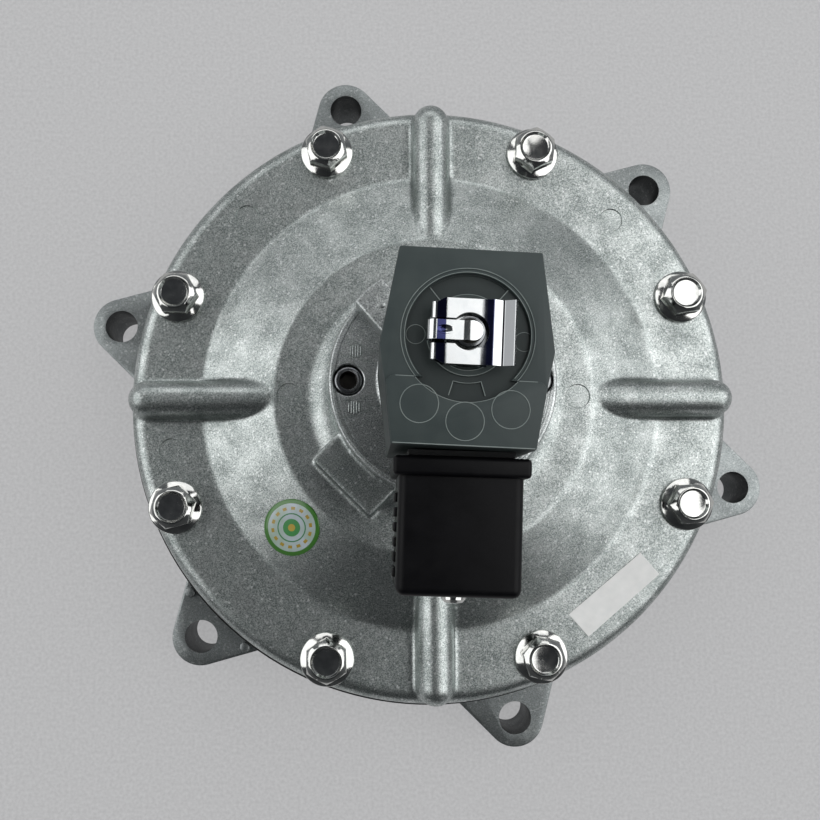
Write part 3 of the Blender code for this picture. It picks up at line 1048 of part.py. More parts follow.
def make_connector(turning):
    """The plug: gasket, shell with collar and grip ribs, insert, screw, and the cable gland."""
    half = CONNECTOR_WIDTH / 2
    hole = CONNECTOR_SCREW_RADIUS + HOLE_PLAY
    gasket_far = GASKET_Y - GASKET_THICKNESS
    gasket_half = half - CONNECTOR_WALL
    gasket = solid("connector_gasket", lambda builder: box(
        builder, (-gasket_half, gasket_far, CONNECTOR_MIDDLE - gasket_half),
        (gasket_half, GASKET_Y, CONNECTOR_MIDDLE + gasket_half)), BLACK_RUBBER, turning)
    insert_near = SHELL_Y - GAP
    insert_far = insert_near - INSERT_LENGTH
    insert_half = half - CONNECTOR_WALL - GAP
    insert = solid("connector_insert", lambda builder: box(
        builder, (-insert_half, insert_far, CONNECTOR_MIDDLE - insert_half),
        (insert_half, insert_near, CONNECTOR_MIDDLE + insert_half)), PALE_PLASTIC, turning)

    def pin_slots(builder):
        slack = 2 * GAP
        thin, wide = PIN_THICKNESS / 2 + slack, PIN_WIDTH / 2 + slack
        far, near = -COIL_END - PIN_LENGTH - slack, GASKET_Y + slack
        for x in (-PIN_SPACING / 2, PIN_SPACING / 2):
            box(builder, (x - thin, far, CONNECTOR_MIDDLE - wide), (x + thin, near, CONNECTOR_MIDDLE + wide))
        earth = CONNECTOR_MIDDLE - PIN_SPACING / 2
        box(builder, (-wide, far, earth - thin), (wide, near, earth + thin))

    slots = solid("pin_slots", pin_slots, None, turning)
    screw_hole = plug_axis_bore("connector_screw_hole", hole, COIL_END, GAP - SHELL_END, turning)
    for piece in (gasket, insert):
        cut(piece, slots)
        cut(piece, screw_hole)

    shell = solid("connector_shell", lambda builder: box(
        builder, (-half, SHELL_END, CONNECTOR_BOTTOM), (half, SHELL_Y - GAP, CONNECTOR_TOP)),
        BLACK_PLASTIC, turning)
    bevel(shell, CONNECTOR_CORNER, 2)
    collar_half = half + COLLAR_STAND
    collar = solid("connector_collar", lambda builder: box(
        builder, (-collar_half, SHELL_Y - COLLAR_LENGTH, CONNECTOR_BOTTOM - COLLAR_STAND),
        (collar_half, SHELL_Y, CONNECTOR_TOP + COLLAR_STAND)), None, turning)
    bevel(collar, COLLAR_EDGE)
    join(shell, collar)

    def grip_ribs(builder):
        middle = (SHELL_END + SHELL_Y - COLLAR_LENGTH) / 2
        reach = Vector((GRIP_RIB_STAND, GRIP_RIB_LENGTH / 2, GRIP_RIB_HEIGHT / 2))
        for side in (-half, half):
            for i in range(GRIP_RIB_COUNT):
                y = middle + (i - (GRIP_RIB_COUNT - 1) / 2) * GRIP_RIB_PITCH
                centre = Vector((side, y, CONNECTOR_MIDDLE))
                box(builder, centre - reach, centre + reach)

    join(shell, solid("grip_ribs", grip_ribs, None, turning))
    spigot_root = CONNECTOR_BOTTOM + CONNECTOR_WALL / 2
    join(shell, solid("gland_spigot", lambda builder: cylinder(
        builder, GLAND_SPIGOT_RADIUS, GLAND_SPIGOT_END, spigot_root, (0.0, GLAND_Y)), None, turning))
    inner_half = half - CONNECTOR_WALL
    cut(shell, solid("connector_hollow", lambda builder: box(
        builder, (-inner_half, SHELL_END + CONNECTOR_WALL, CONNECTOR_MIDDLE - inner_half),
        (inner_half, SHELL_Y + GAP, CONNECTOR_MIDDLE + inner_half)), None, turning))
    cut(shell, solid("gland_bore", lambda builder: cylinder(
        builder, GLAND_BORE_RADIUS, GLAND_SPIGOT_END - GAP, CONNECTOR_MIDDLE, (0.0, GLAND_Y)), None, turning))
    cut(shell, plug_axis_bore("connector_head_hole", hole, -SHELL_END - CONNECTOR_WALL - GAP, GAP - SHELL_END,
                              turning))

    head_near = -SHELL_END + GAP
    head_far = head_near + CONNECTOR_SCREW_HEAD_HEIGHT
    screw_end = COIL_END - CONNECTOR_SCREW_DEPTH
    edge = CONNECTOR_SCREW_EDGE
    screw = turned("connector_screw", [
        (0.0, head_far), (CONNECTOR_SCREW_HEAD_RADIUS - edge, head_far),
        (CONNECTOR_SCREW_HEAD_RADIUS, head_near + edge), (CONNECTOR_SCREW_HEAD_RADIUS, head_near),
        (CONNECTOR_SCREW_RADIUS, head_near), (CONNECTOR_SCREW_RADIUS, screw_end), (0.0, screw_end)],
        PLATED_STEEL, turning, closed=False, steps=12)
    screw.rotation_euler.x = math.pi / 2
    screw.location.z = CONNECTOR_MIDDLE


def make_gland(turning):
    """The cable gland under the plug: hexagon nut, washer and rubber grommet."""
    nut_top = GLAND_SPIGOT_END + GLAND_NUT_COVER
    nut_bottom = nut_top - GLAND_NUT_HEIGHT
    lip = GLAND_LIP
    hex_radius = GLAND_NUT_FLATS / math.sqrt(3)
    nut = solid("gland_nut", lambda builder: cylinder(
        builder, hex_radius, nut_bottom, nut_top, (0.0, GLAND_Y), 6), BLACK_PLASTIC, turning)

    def nut_bore(builder):
        cylinder(builder, GLAND_SPIGOT_RADIUS + THREAD_PLAY, nut_bottom + lip, nut_top + GAP, (0.0, GLAND_Y))

    def nut_mouth(builder):
        mouth = CABLE_HOLE_RADIUS + GLAND_MOUTH_PLAY
        cylinder(builder, mouth, nut_bottom - GAP, nut_bottom + 2 * lip, (0.0, GLAND_Y))

    cut(nut, solid("gland_nut_bore", nut_bore, None, turning))
    cut(nut, solid("gland_nut_mouth", nut_mouth, None, turning))

    def sleeve(name, outer, inner, low, high, material):
        made = solid(name, lambda builder: cylinder(
            builder, outer, low, high, (0.0, GLAND_Y)), material, turning)
        cut(made, solid(name + "_hole", lambda builder: cylinder(
            builder, inner, low - GAP, high + GAP, (0.0, GLAND_Y)), None, turning))

    washer_low = nut_bottom + lip + GAP
    washer_high = washer_low + GLAND_WASHER_THICKNESS
    sleeve("gland_washer", GLAND_SPIGOT_RADIUS - GAP, CABLE_HOLE_RADIUS + GLAND_WASHER_PLAY, washer_low,
           washer_high, PLATED_STEEL)
    grommet_low = washer_high + GAP
    grommet_high = GLAND_SPIGOT_END + GROMMET_REACH
    sleeve("gland_grommet", GLAND_BORE_RADIUS - GAP, CABLE_HOLE_RADIUS, grommet_low, grommet_high,
           BLACK_RUBBER)


def bent_strip(name, path, half_width, material=None, parent=None):
    """A strip of sheet whose side view follows a path of (x, z) points."""
    builder = bmesh.new()
    rows = [[builder.verts.new((x, side * half_width, z)) for side in (-1, 1)] for x, z in path]
    for (a, b), (c, d) in zip(rows, rows[1:]):
        builder.faces.new((a, c, d, b))
    mesh = bpy.data.meshes.new(name)
    builder.to_mesh(mesh)
    builder.free()
    made = add_object(name, mesh, material, parent)
    wall = made.modifiers.new("sheet", "SOLIDIFY")
    wall.thickness = CLIP_SHEET
    wall.offset = 0.0
    wall.use_even_offset = True
    return made


def make_retaining_clip(turning):
    """The bent sheet clip: fork under the stem's head, upper leaf with a hole, tongue and lifted lip."""
    lower = CLIP_BOTTOM + CLIP_SHEET / 2
    upper = lower + CLIP_RISE + CLIP_SHEET
    tongue = STEM_NECK_TOP + STEM_HEAD_HEIGHT + GAP + CLIP_SHEET / 2
    middle = (lower + upper) / 2
    bend = CLIP_RISE / 2 + CLIP_SHEET / 2
    left = -CLIP_LEFT + bend
    back = arc((left, middle), bend, 270.0, 90.0, 6)
    lip = CLIP_LIP_STEP
    crest = [
        (CLIP_TONGUE_END + lip / 2, upper), (CLIP_TONGUE_END + 2 * lip, upper - CLIP_DIP),
        (CLIP_TONGUE_END + 3.6 * lip, upper + CLIP_CREST), (CLIP_TONGUE_END + 4 * lip, upper + CLIP_VALLEY),
        (CLIP_TONGUE_END + 5.9 * lip, upper + CLIP_LIFT)]
    clip = bent_strip("retaining_clip", [(CLIP_FORK_END, lower)] + back + crest, CLIP_HALF_WIDTH,
                      SPRING_STEEL, turning)
    fork = STEM_NECK_RADIUS + GAP

    def fork_slot(builder):
        box(builder, (0.0, -fork, lower - CLIP_SHEET), (CLIP_FORK_END + lip, fork, lower + CLIP_SHEET))

    def fork_end(builder):
        cylinder(builder, fork, lower - CLIP_SHEET, lower + CLIP_SHEET, steps=16)

    def head_hole(builder):
        cylinder(builder, CLIP_HOLE_RADIUS, upper - CLIP_SHEET, upper + CLIP_SHEET)

    slot_half = CLIP_SLOT_WIDTH / 2

    def tongue_slot(builder):
        box(builder, (-CLIP_LEFT - lip, -slot_half, lower + CLIP_SHEET), (0.0, slot_half, upper + CLIP_SHEET))

    for name, build in (("fork_slot", fork_slot), ("fork_end", fork_end), ("head_hole", head_hole),
                        ("tongue_slot", tongue_slot)):
        cut(clip, solid(name, build, None, turning))
    turn = (tongue - lower) / 2
    loop = arc((-CLIP_LEFT + CLIP_DIP + turn / 2, lower + turn), turn, 270.0, 90.0, 6)
    tongue_half = CLIP_TONGUE_WIDTH / 2
    strip = bent_strip("clip_tongue", [(-STEM_HEAD_RADIUS - lip, lower)] + loop + [(CLIP_TONGUE_END, tongue)],
                       tongue_half, None, turning)
    tip_centre = CLIP_TONGUE_END - tongue_half
    rounding = solid("tongue_rounding", lambda builder: box(
        builder, (-2 * CLIP_LEFT, -2 * tongue_half, lower - lip),
        (tip_centre, 2 * tongue_half, tongue + lip)), None, turning)
    tip = solid("tongue_tip", lambda builder: cylinder(
        builder, tongue_half, lower - lip / 2, tongue + lip / 2, (tip_centre, 0.0)), None, turning)
    join(rounding, tip)
    boolean(strip, rounding, "INTERSECT")
    join(clip, strip)


def make_valve():
    """Builds every piece, grouped under one empty for each body."""
    main_moving = add_empty("main_diaphragm_lift")
    pilot_moving = add_empty("pilot_diaphragm_lift")
    plunger_moving = add_empty("plunger_lift")
    turning = add_empty("coil_swivel", COIL_TURN)
    make_valve_body()
    make_sealing_rings()
    make_main_diaphragm(main_moving)
    make_top_cover()
    make_cover_bolts()
    make_pilot_diaphragm(pilot_moving)
    make_pilot_cap()
    make_pilot_cap_screws()
    make_stem()
    make_plunger(plunger_moving)
    make_coil(turning)
    make_connector(turning)
    make_gland(turning)
    make_retaining_clip(turning)


make_valve()
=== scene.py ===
import math
from contextlib import contextmanager

import bpy
from mathutils import Matrix, Vector


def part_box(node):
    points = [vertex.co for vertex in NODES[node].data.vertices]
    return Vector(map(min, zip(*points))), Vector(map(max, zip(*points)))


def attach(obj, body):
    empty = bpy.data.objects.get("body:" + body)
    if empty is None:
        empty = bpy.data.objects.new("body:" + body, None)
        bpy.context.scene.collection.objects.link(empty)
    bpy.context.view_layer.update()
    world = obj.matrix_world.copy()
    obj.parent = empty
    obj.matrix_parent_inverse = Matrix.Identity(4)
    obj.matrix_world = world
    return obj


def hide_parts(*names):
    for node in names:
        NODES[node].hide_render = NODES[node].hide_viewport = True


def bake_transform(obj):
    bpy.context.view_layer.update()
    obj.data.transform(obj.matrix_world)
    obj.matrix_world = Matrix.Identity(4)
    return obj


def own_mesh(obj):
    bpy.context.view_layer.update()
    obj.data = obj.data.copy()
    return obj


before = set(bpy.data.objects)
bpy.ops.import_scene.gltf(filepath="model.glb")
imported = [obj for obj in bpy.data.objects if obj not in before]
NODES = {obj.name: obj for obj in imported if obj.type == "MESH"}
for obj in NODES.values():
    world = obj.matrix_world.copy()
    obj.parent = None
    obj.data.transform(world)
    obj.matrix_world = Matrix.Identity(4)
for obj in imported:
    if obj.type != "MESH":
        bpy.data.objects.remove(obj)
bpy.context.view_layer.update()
MM = 0.001

# Photograph, in its own pixels
PHOTO_SIZE = 820
FOCAL_PIXELS = 950.0
CENTRE_PIXEL = (402.8, 436.3)

# Camera, in metres and radians
CAMERA_PLACE = (-0.02154, -0.03881, 0.3675)
CAMERA_TILT_X = -0.0823
CAMERA_TILT_Y = -0.0348
CAMERA_SPIN = 0.0041
SENSOR_MM = 36.0

# Sizes in millimetres, as on the real valve
COVER_RADIUS = 102.6
FLANGE_THICKNESS = 11.9
RIM_ROLL = 4.6
SLOPE_FOOT = 78.0
SLOPE_TOP = 53.0
DOME_RISE = 11.0
COVER_WALL = 5.5
TOWER_RADIUS = 32.8
TOWER_FILLET = 10.5
RIB_WIDTH = 12.4
RIB_DROP = 0.2
RIB_REACH = 101.8
EXHAUST_ANGLE = 225.0
BOLT_CIRCLE = 93.8
BOLT_COUNT = 8
BOLT_FIRST_ANGLE = 22.5
BODY_RADIUS = 100.0
INLET_RADIUS = 83.0
LUG_CIRCLE = 115.0
LUG_COUNT = 6
LUG_FIRST_ANGLE = -15.0
LUG_HEIGHT = 24.4
CAP_RADIUS = 33.4
CAP_THICKNESS = 10.7
CAP_BAR_ANGLE = 131.0
CAP_BAR_HEIGHT = 8.0
CAP_SCREW_CIRCLE = 27.6
COIL_TURN = -3.0
PLUG_TURN = -2.2
COIL_TOP_HALF, COIL_TOP_END = 15.75, 19.1
COIL_WAIST_HALF, COIL_WAIST_Y = 19.2, -2.8
COIL_SHOULDER_HALF, COIL_SHOULDER_Y = 18.0, -9.6
COIL_END_HALF, COIL_END = 15.8, 24.5
COIL_WELL_DEPTH = 0.75
COIL_PAD_RISE = 0.8
CONNECTOR_WIDTH = 27.8
COLLAR_WIDTH = 30.6
GLAND_Y = -43.6
LUG_HOLE_RADIUS = 5.75
EJECTOR_RADIUS, EJECTOR_DEPTH = 3.85, 0.5
FLANGE_EJECTORS = ((-63.4, 64.1), (63.2, 63.4), (-88.5, -16.7))
PLATEAU_EJECTORS = ((-48.0, 0.5), (47.8, 0.0))
CAP_MARK_RADIUS = 2.2
CAP_MARKS = ((-25.4, 8.6), (-25.9, -7.9))
HEAD_FLATS = 13.0
UPPER_FIELD, LOWER_FIELD = (51.0, 130.5), (-105.5, -71.8)
DATE_DISCS = ((-11.4, -0.3), (12.4, -0.8))
ROUNDELS = ((-10.0, -15.6), (0.0, -19.0), (9.8, -16.0))
BADGE_PLACE, BADGE_RADIUS, BADGE_TURN = (-47.3, -42.9), 9.4, 25.0
LABEL_CORNERS = ((70.4, -52.3), (76.7, -59.6), (52.0, -80.3), (45.5, -72.8))

# The badge's print: rings from one radius to another, the gold one in dashes
BADGE_DASHES, BADGE_DASH_COLOUR = 14.0, "#B79C3A"
BADGE_RINGS = ((8.0, 9.6, "#4A8436"), (5.9, 6.9, BADGE_DASH_COLOUR), (4.4, 4.8, "#3E8A52"),
               (0.0, 2.9, "#4E9A58"), (0.0, 1.2, "#C9AE4E"))

# Soft boxes: azimuth, elevation, distance, size and brightness, in degrees and metres
LAMPS = {
    "left_box": (176.0, 34.0, 0.95, (1.05, 0.8), 1.55),
    "right_box": (2.0, 45.0, 0.95, (1.15, 0.95), 1.85),
    "back_box": (92.0, 36.0, 1.1, (1.2, 0.5), 1.35),
    "shoulder_box": (40.0, 73.0, 0.8, (0.3, 0.3), 1.3)}
FLOOR_OWN_TONE = 0.72

# An upright piece laid along X or along Y
ALONG_X = Matrix.Rotation(math.pi / 2, 4, "Y")
ALONG_Y = Matrix.Rotation(math.pi / 2, 4, "X")


def levels(node):
    """The lowest and the highest point of a CAD node, in millimetres."""
    low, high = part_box(node)
    return low.z / MM, high.z / MM


# Modelling helpers

def use(*pieces):
    """Makes these objects the only selected ones, and the first one active."""
    bpy.ops.object.select_all(action="DESELECT")
    for piece in pieces:
        piece.select_set(True)
    bpy.context.view_layer.objects.active = pieces[0]


@contextmanager
def editing(piece, mode="VERT"):
    """Edit mode on one piece, with everything in it selected."""
    use(piece)
    bpy.ops.object.mode_set(mode="EDIT")
    bpy.ops.mesh.select_mode(type=mode)
    bpy.ops.mesh.select_all(action="SELECT")
    yield
    bpy.ops.object.mode_set(mode="OBJECT")


def tidy(piece):
    """Merges doubles and turns the faces outwards."""
    with editing(piece):
        bpy.ops.mesh.remove_doubles(threshold=0.000002)
        bpy.ops.mesh.normals_make_consistent(inside=False)
    return piece


def linked(name, data):
    """A new object with this data, put into the scene."""
    made = bpy.data.objects.new(name, data)
    bpy.context.scene.collection.objects.link(made)
    return made


def new_piece(name, points, edges, faces):
    """A mesh object from points in millimetres, the start of a turned piece or of a slab."""
    mesh = bpy.data.meshes.new(name)
    mesh.from_pydata([tuple(c * MM for c in p) for p in points], edges, faces)
    return linked(name, mesh)


def settle(piece):
    """Puts a primitive's place into its mesh."""
    use(piece)
    bpy.ops.object.transform_apply(location=True, rotation=True, scale=True)
    return piece


def arc(centre, radius, start, end, count):
    """Points on an arc, from one angle to another in degrees."""
    angles = [math.radians(start + (end - start) * i / count) for i in range(count + 1)]
    return [(centre[0] + radius * math.cos(a), centre[1] + radius * math.sin(a)) for a in angles]


def turned(name, profile, steps=96, closed=True):
    """A turned piece: a profile of (radius, height) points, spun about the valve's axis."""
    count = len(profile)
    edges = [(i, (i + 1) % count) for i in range(count if closed else count - 1)]
    piece = new_piece(name, [(r, 0.0, z) for r, z in profile], edges, [])
    with editing(piece):
        bpy.ops.mesh.spin(steps=steps, angle=2 * math.pi, center=(0, 0, 0), axis=(0, 0, 1))
    return tidy(piece)


def solid_turned(name, profile, steps=96):
    """A turned piece with a solid middle: its profile starts and ends on the axis."""
    return turned(name, profile, steps, closed=False)


def slab(name, outline, low, high):
    """A flat outline of (x, y) points, extruded from one level to another."""
    piece = new_piece(name, [(x, y, low) for x, y in outline], [], [range(len(outline))])
    with editing(piece, "FACE"):
        bpy.ops.mesh.extrude_region_move(TRANSFORM_OT_translate={"value": (0, 0, (high - low) * MM)})
    return tidy(piece)


def box(name, low, high, turn=0.0):
    """A box between two corners, turned about the valve's axis."""
    bpy.ops.object.select_all(action="DESELECT")
    centre = [(a + b) / 2 * MM for a, b in zip(low, high)]
    bpy.ops.mesh.primitive_cube_add(size=MM, location=centre)
    piece = bpy.context.object
    piece.name = name
    piece.scale = [b - a for a, b in zip(low, high)]
    settle(piece)
    piece.data.transform(Matrix.Rotation(math.radians(turn), 4, "Z"))
    return piece


def rod(name, radius, low, high, centre=(0.0, 0.0), steps=48, top_radius=None):
    """An upright cylinder or cone."""
    bpy.ops.object.select_all(action="DESELECT")
    bpy.ops.mesh.primitive_cone_add(
        vertices=steps, radius1=radius * MM, radius2=(radius if top_radius is None else top_radius) * MM,
        depth=(high - low) * MM, location=(centre[0] * MM, centre[1] * MM, (low + high) / 2 * MM))
    piece = bpy.context.object
    piece.name = name
    return settle(piece)


def moved(piece, matrix):
    """Moves or turns a piece in its mesh."""
    piece.data.transform(matrix)
    return piece


def duplicate(piece):
    """A copy of a piece with its own mesh."""
    return linked(piece.name, piece.data.copy())


def about_z(degrees):
    return Matrix.Rotation(math.radians(degrees), 4, "Z")


def shift(x, y, z=0.0):
    return Matrix.Translation((x * MM, y * MM, z * MM))


def merged(name, *pieces):
    """Several pieces as one object, without a Boolean."""
    use(*pieces)
    bpy.ops.object.join()
    pieces[0].name = name
    return pieces[0]


def ring_of(piece, count, first_angle=0.0):
    """One object with copies of a piece round the valve's axis."""
    copies = []
    for i in range(count):
        mesh = piece.data.copy()
        mesh.transform(about_z(first_angle + 360.0 * i / count))
        copies.append(linked(piece.name, mesh))
    bpy.data.objects.remove(piece)
    return merged(copies[0].name, *copies)


def apply(piece, kind, **settings):
    """Adds a modifier to a piece and applies it."""
    step = piece.modifiers.new(kind.lower(), kind)
    for key, value in settings.items():
        setattr(step, key, value)
    use(piece)
    bpy.ops.object.modifier_apply(modifier=step.name)
    return piece


def combine(piece, tool, operation):
    """A Boolean with a tool, which is then removed."""
    apply(piece, "BOOLEAN", operation=operation, object=tool, solver="MANIFOLD")
    bpy.data.objects.remove(tool)
    return piece


def join(piece, tool):
    return combine(piece, tool, "UNION")


def cut(piece, tool):
    return combine(piece, tool, "DIFFERENCE")


def drill(piece, name, radius, low, high, circle, count, first_angle=0.0, steps=48):
    """Cuts a ring of upright holes into a piece."""
    hole = moved(rod(name, radius, low, high, steps=steps), shift(circle, 0.0))
    return cut(piece, ring_of(hole, count, first_angle))


def ball(radius, centre, segments):
    """A sphere about a centre in millimetres."""
    bpy.ops.object.select_all(action="DESELECT")
    bpy.ops.mesh.primitive_uv_sphere_add(segments=segments, ring_count=segments // 2, radius=radius * MM,
                                         location=[c * MM for c in centre])
    return bpy.context.object


def soften(piece, width, segments=2, angle=35.0):
    """Rounds the edges that are sharper than an angle."""
    return apply(piece, "BEVEL", width=width * MM, segments=segments, limit_method="ANGLE",
                 angle_limit=math.radians(angle), use_clamp_overlap=True, miter_outer="MITER_ARC")


def cast_skin(piece, voxel, passes, keep):
    """Melts joined forms into one skin with soft blends, as a casting has."""
    apply(piece, "REMESH", mode="VOXEL", voxel_size=voxel * MM)
    apply(piece, "SMOOTH", factor=0.5, iterations=passes)
    return apply(piece, "DECIMATE", ratio=keep)


def smooth(piece, angle=32.0):
    use(piece)
    bpy.ops.object.shade_smooth_by_angle(angle=math.radians(angle))
    return piece


def coat(piece, finish):
    """Gives a piece one material and no other."""
    piece.data.materials.clear()
    piece.data.materials.append(finish)


def dress(piece, body, slot, *nodes, finish=None, angle=32.0):
    """Smooths a finished piece, gives it its finish and its body, and hides the CAD nodes that it stands for.
    """
    smooth(piece, angle)
    coat(piece, finish or MAT[slot])
    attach(piece, body)
    if nodes:
        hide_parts(*nodes)
    return piece


def second_finish(piece, finish, wanted):
    """Gives some faces another material: wanted takes a face's centre in millimetres and its normal."""
    piece.data.materials.append(finish)
    for face in piece.data.polygons:
        if wanted(face.center / MM, face.normal):
            face.material_index = 1


# Materials

def srgb(text):
    """Linear colour from an sRGB hex value."""
    channels = [int(text[i:i + 2], 16) / 255 for i in (1, 3, 5)]
    return tuple(c / 12.92 if c <= 0.04045 else ((c + 0.055) / 1.055) ** 2.4 for c in channels) + (1.0,)


def put(tree, node, inputs):
    """Fills a node's inputs: hex colours, plain values, sockets, or nodes for their first output in use."""
    for key, value in inputs.items():
        if isinstance(value, bpy.types.Node):
            value = next(output for output in value.outputs if output.enabled)
        if isinstance(value, bpy.types.NodeSocket):
            tree.links.new(value, node.inputs[key])
        else:
            node.inputs[key].default_value = srgb(value) if isinstance(value, str) else value


def add(tree, kind, inputs=None, stops=(), **settings):
    """Adds a node with its settings, its ramp's stops, and values or links for its inputs."""
    made = tree.nodes.new("ShaderNode" + kind)
    for key, value in settings.items():
        setattr(made, key, value)
    for i, (place, colour) in enumerate(stops):
        stop = made.color_ramp.elements[i] if i < 2 else made.color_ramp.elements.new(place)
        stop.position = place
        stop.color = srgb(colour)
    put(tree, made, inputs or {})
    return made


def material(name):
    """An empty material with its tree, its shader and the object's own coordinates."""
    made = bpy.data.materials.new(name)
    made.use_nodes = True
    tree = made.node_tree
    return made, tree, tree.nodes["Principled BSDF"], add(tree, "TexCoord").outputs["Object"]


def cast_metal(name, dark, colour, light, rough, grain_mm=0.38, depth_mm=0.08, speck_glint=0.8, streak_glint=0.5):
    """Shot-blasted die casting: a dense fine grain, cloudy patches, and painted glints: pale, rougher specks
    and streaks in the colour.
    """
    made, tree, shader, place = material(name)
    patches = add(tree, "TexNoise", {"Vector": place, "Scale": 1.0 / (9.0 * MM), "Detail": 4.0})
    grain = add(tree, "TexNoise", {"Vector": place, "Scale": 1.0 / (grain_mm * MM), "Roughness": 0.7})
    mottle = add(tree, "Mix", {"Factor": 0.74, "A": patches, "B": grain}, data_type="FLOAT")
    tone = add(tree, "ValToRGB", {"Fac": mottle}, [(0.38, dark), (0.5, colour), (0.63, light)])
    cells = add(tree, "TexVoronoi", {"Vector": place, "Scale": 1.0 / (1.5 * grain_mm * MM)}).outputs["Color"]
    glint = add(tree, "MapRange", {"Value": cells, "From Min": 0.78, "From Max": 0.92, "To Max": speck_glint})
    # Painted glint streaks run two ways: each lane is a noise drawn out along its own line
    for turn in (25.0, -40.0):
        lane = add(tree, "Mapping", {"Vector": place, "Rotation": (0.0, 0.0, math.radians(turn)),
                                     "Scale": (4.5 * MM, 0.25 * MM, 4.5 * MM)}, vector_type="TEXTURE")
        lines = add(tree, "TexNoise", {"Vector": lane, "Scale": 1.0, "Detail": 1.0})
        line = add(tree, "MapRange", {"Value": lines, "From Min": 0.68, "From Max": 0.76, "To Max": streak_glint})
        glint = add(tree, "Math", {0: glint, 1: line}, operation="MAXIMUM")
    wear = add(tree, "MapRange", {"Value": patches, "From Min": 0.3, "From Max": 0.7,
                                  "To Min": rough + 0.05, "To Max": rough - 0.05})
    # The glint mask paints pale, rougher specks and streaks into the colour: painted glints
    put(tree, shader, {
        "Base Color": add(tree, "Mix", {"Factor": glint, "A": tone, "B": "#E6E9E8"}, data_type="RGBA"),
        "Roughness": add(tree, "Math", {0: glint, 1: 0.06, 2: wear}, operation="MULTIPLY_ADD"),
        "Normal": add(tree, "Bump", {"Height": grain, "Strength": 0.6, "Distance": depth_mm * MM}),
        "Metallic": 1.0})
    return made


def plated_steel(name, colour, tint, rough, scratch=0.2, reflection_bands=()):
    """Plated steel: a bright, faintly clouded mirror with fine marks, and bands of painted dark reflection at
    a clip's bends.
    """
    made, tree, shader, place = material(name)
    clouds = add(tree, "TexNoise", {"Vector": place, "Scale": 1.0 / (3.0 * MM), "Detail": 4.0})
    lane = add(tree, "Mapping", {"Vector": place, "Scale": (1.0, 9.0, 1.0)})
    lines = add(tree, "TexNoise", {"Vector": lane, "Scale": 1.0 / (1.3 * MM)})
    paint = add(tree, "ValToRGB", {"Fac": clouds}, [(0.35, tint), (0.65, colour)])
    own = add(tree, "Mapping", {"Vector": place, "Rotation": (0.0, 0.0, math.radians(COIL_TURN))},
              vector_type="TEXTURE")
    across = add(tree, "SeparateXYZ", {"Vector": own}).outputs["X"]
    # Each band paints a dark or grey tone across the clip, as painted reflection
    for start, end, soft, reflected_tone in reflection_bands:
        rise = add(tree, "MapRange", {"Value": across, "From Min": (start - soft) * MM,
                                      "From Max": start * MM})
        fall = add(tree, "MapRange", {"Value": across, "From Min": end * MM, "From Max": (end + 0.15) * MM,
                                      "To Min": 1.0, "To Max": 0.0})
        inside = add(tree, "Math", {0: rise, 1: fall}, operation="MULTIPLY")
        paint = add(tree, "Mix", {"Factor": inside, "A": paint, "B": reflected_tone}, data_type="RGBA")
    put(tree, shader, {
        "Base Color": paint,
        "Roughness": add(tree, "MapRange", {"Value": clouds, "From Min": 0.35, "From Max": 0.7,
                                            "To Min": rough, "To Max": rough + 0.08}),
        "Normal": add(tree, "Bump", {"Height": lines, "Strength": scratch, "Distance": 0.02 * MM}),
        "Metallic": 1.0})
    return made


def moulded(name, colour, worn, rough, grain_mm, depth_mm, patch_mm=6.0, shine=0.5, well=None):
    """A moulded plastic or rubber: dull, faintly cloudy, with a mould's grain, and painted shade that darkens
    a well.
    """
    made, tree, shader, place = material(name)
    clouds = add(tree, "TexNoise", {"Vector": place, "Scale": 1.0 / (patch_mm * MM), "Detail": 5.0})
    grain = add(tree, "TexNoise", {"Vector": place, "Scale": 1.0 / (grain_mm * MM)})
    paint = add(tree, "ValToRGB", {"Fac": clouds}, [(0.35, colour), (0.7, worn)])
    # Painted shade: below the well's edge the colour is darkened to a share of itself
    if well:
        floor, edge, share = well
        height = add(tree, "SeparateXYZ", {"Vector": place}).outputs["Z"]
        depth = add(tree, "MapRange", {"Value": height, "From Min": floor * MM, "From Max": edge * MM,
                                       "To Min": share})
        paint = add(tree, "Mix", {"Factor": 1.0, "A": paint, "B": depth}, data_type="RGBA",
                    blend_type="MULTIPLY")
    put(tree, shader, {
        "Base Color": paint,
        "Roughness": add(tree, "MapRange", {"Value": clouds, "From Min": 0.3, "From Max": 0.7,
                                            "To Min": rough - 0.05, "To Max": rough + 0.07}),
        "Normal": add(tree, "Bump", {"Height": grain, "Strength": 0.5, "Distance": depth_mm * MM}),
        "Specular IOR Level": shine})
    return made


def wound_wire(name, turn_mm=0.4):
    """Enamelled copper wire in a close winding: fine rings, one for each turn, painted darker in the grooves
    between turns as painted shade.
    """
    made, tree, shader, place = material(name)
    turns = add(tree, "TexWave", {"Vector": place, "Scale": 0.5 / (turn_mm * MM) / math.pi},
                bands_direction="Z").outputs["Fac"]
    # Painted shade: each groove between turns is dark and each crest copper
    put(tree, shader, {
        "Base Color": add(tree, "ValToRGB", {"Fac": turns}, [(0.0, "#5A2A12"), (0.6, "#B8683A")]),
        "Normal": add(tree, "Bump", {"Height": turns, "Strength": 0.8, "Distance": 0.1 * MM}),
        "Metallic": 0.9,
        "Roughness": 0.35})
    return made


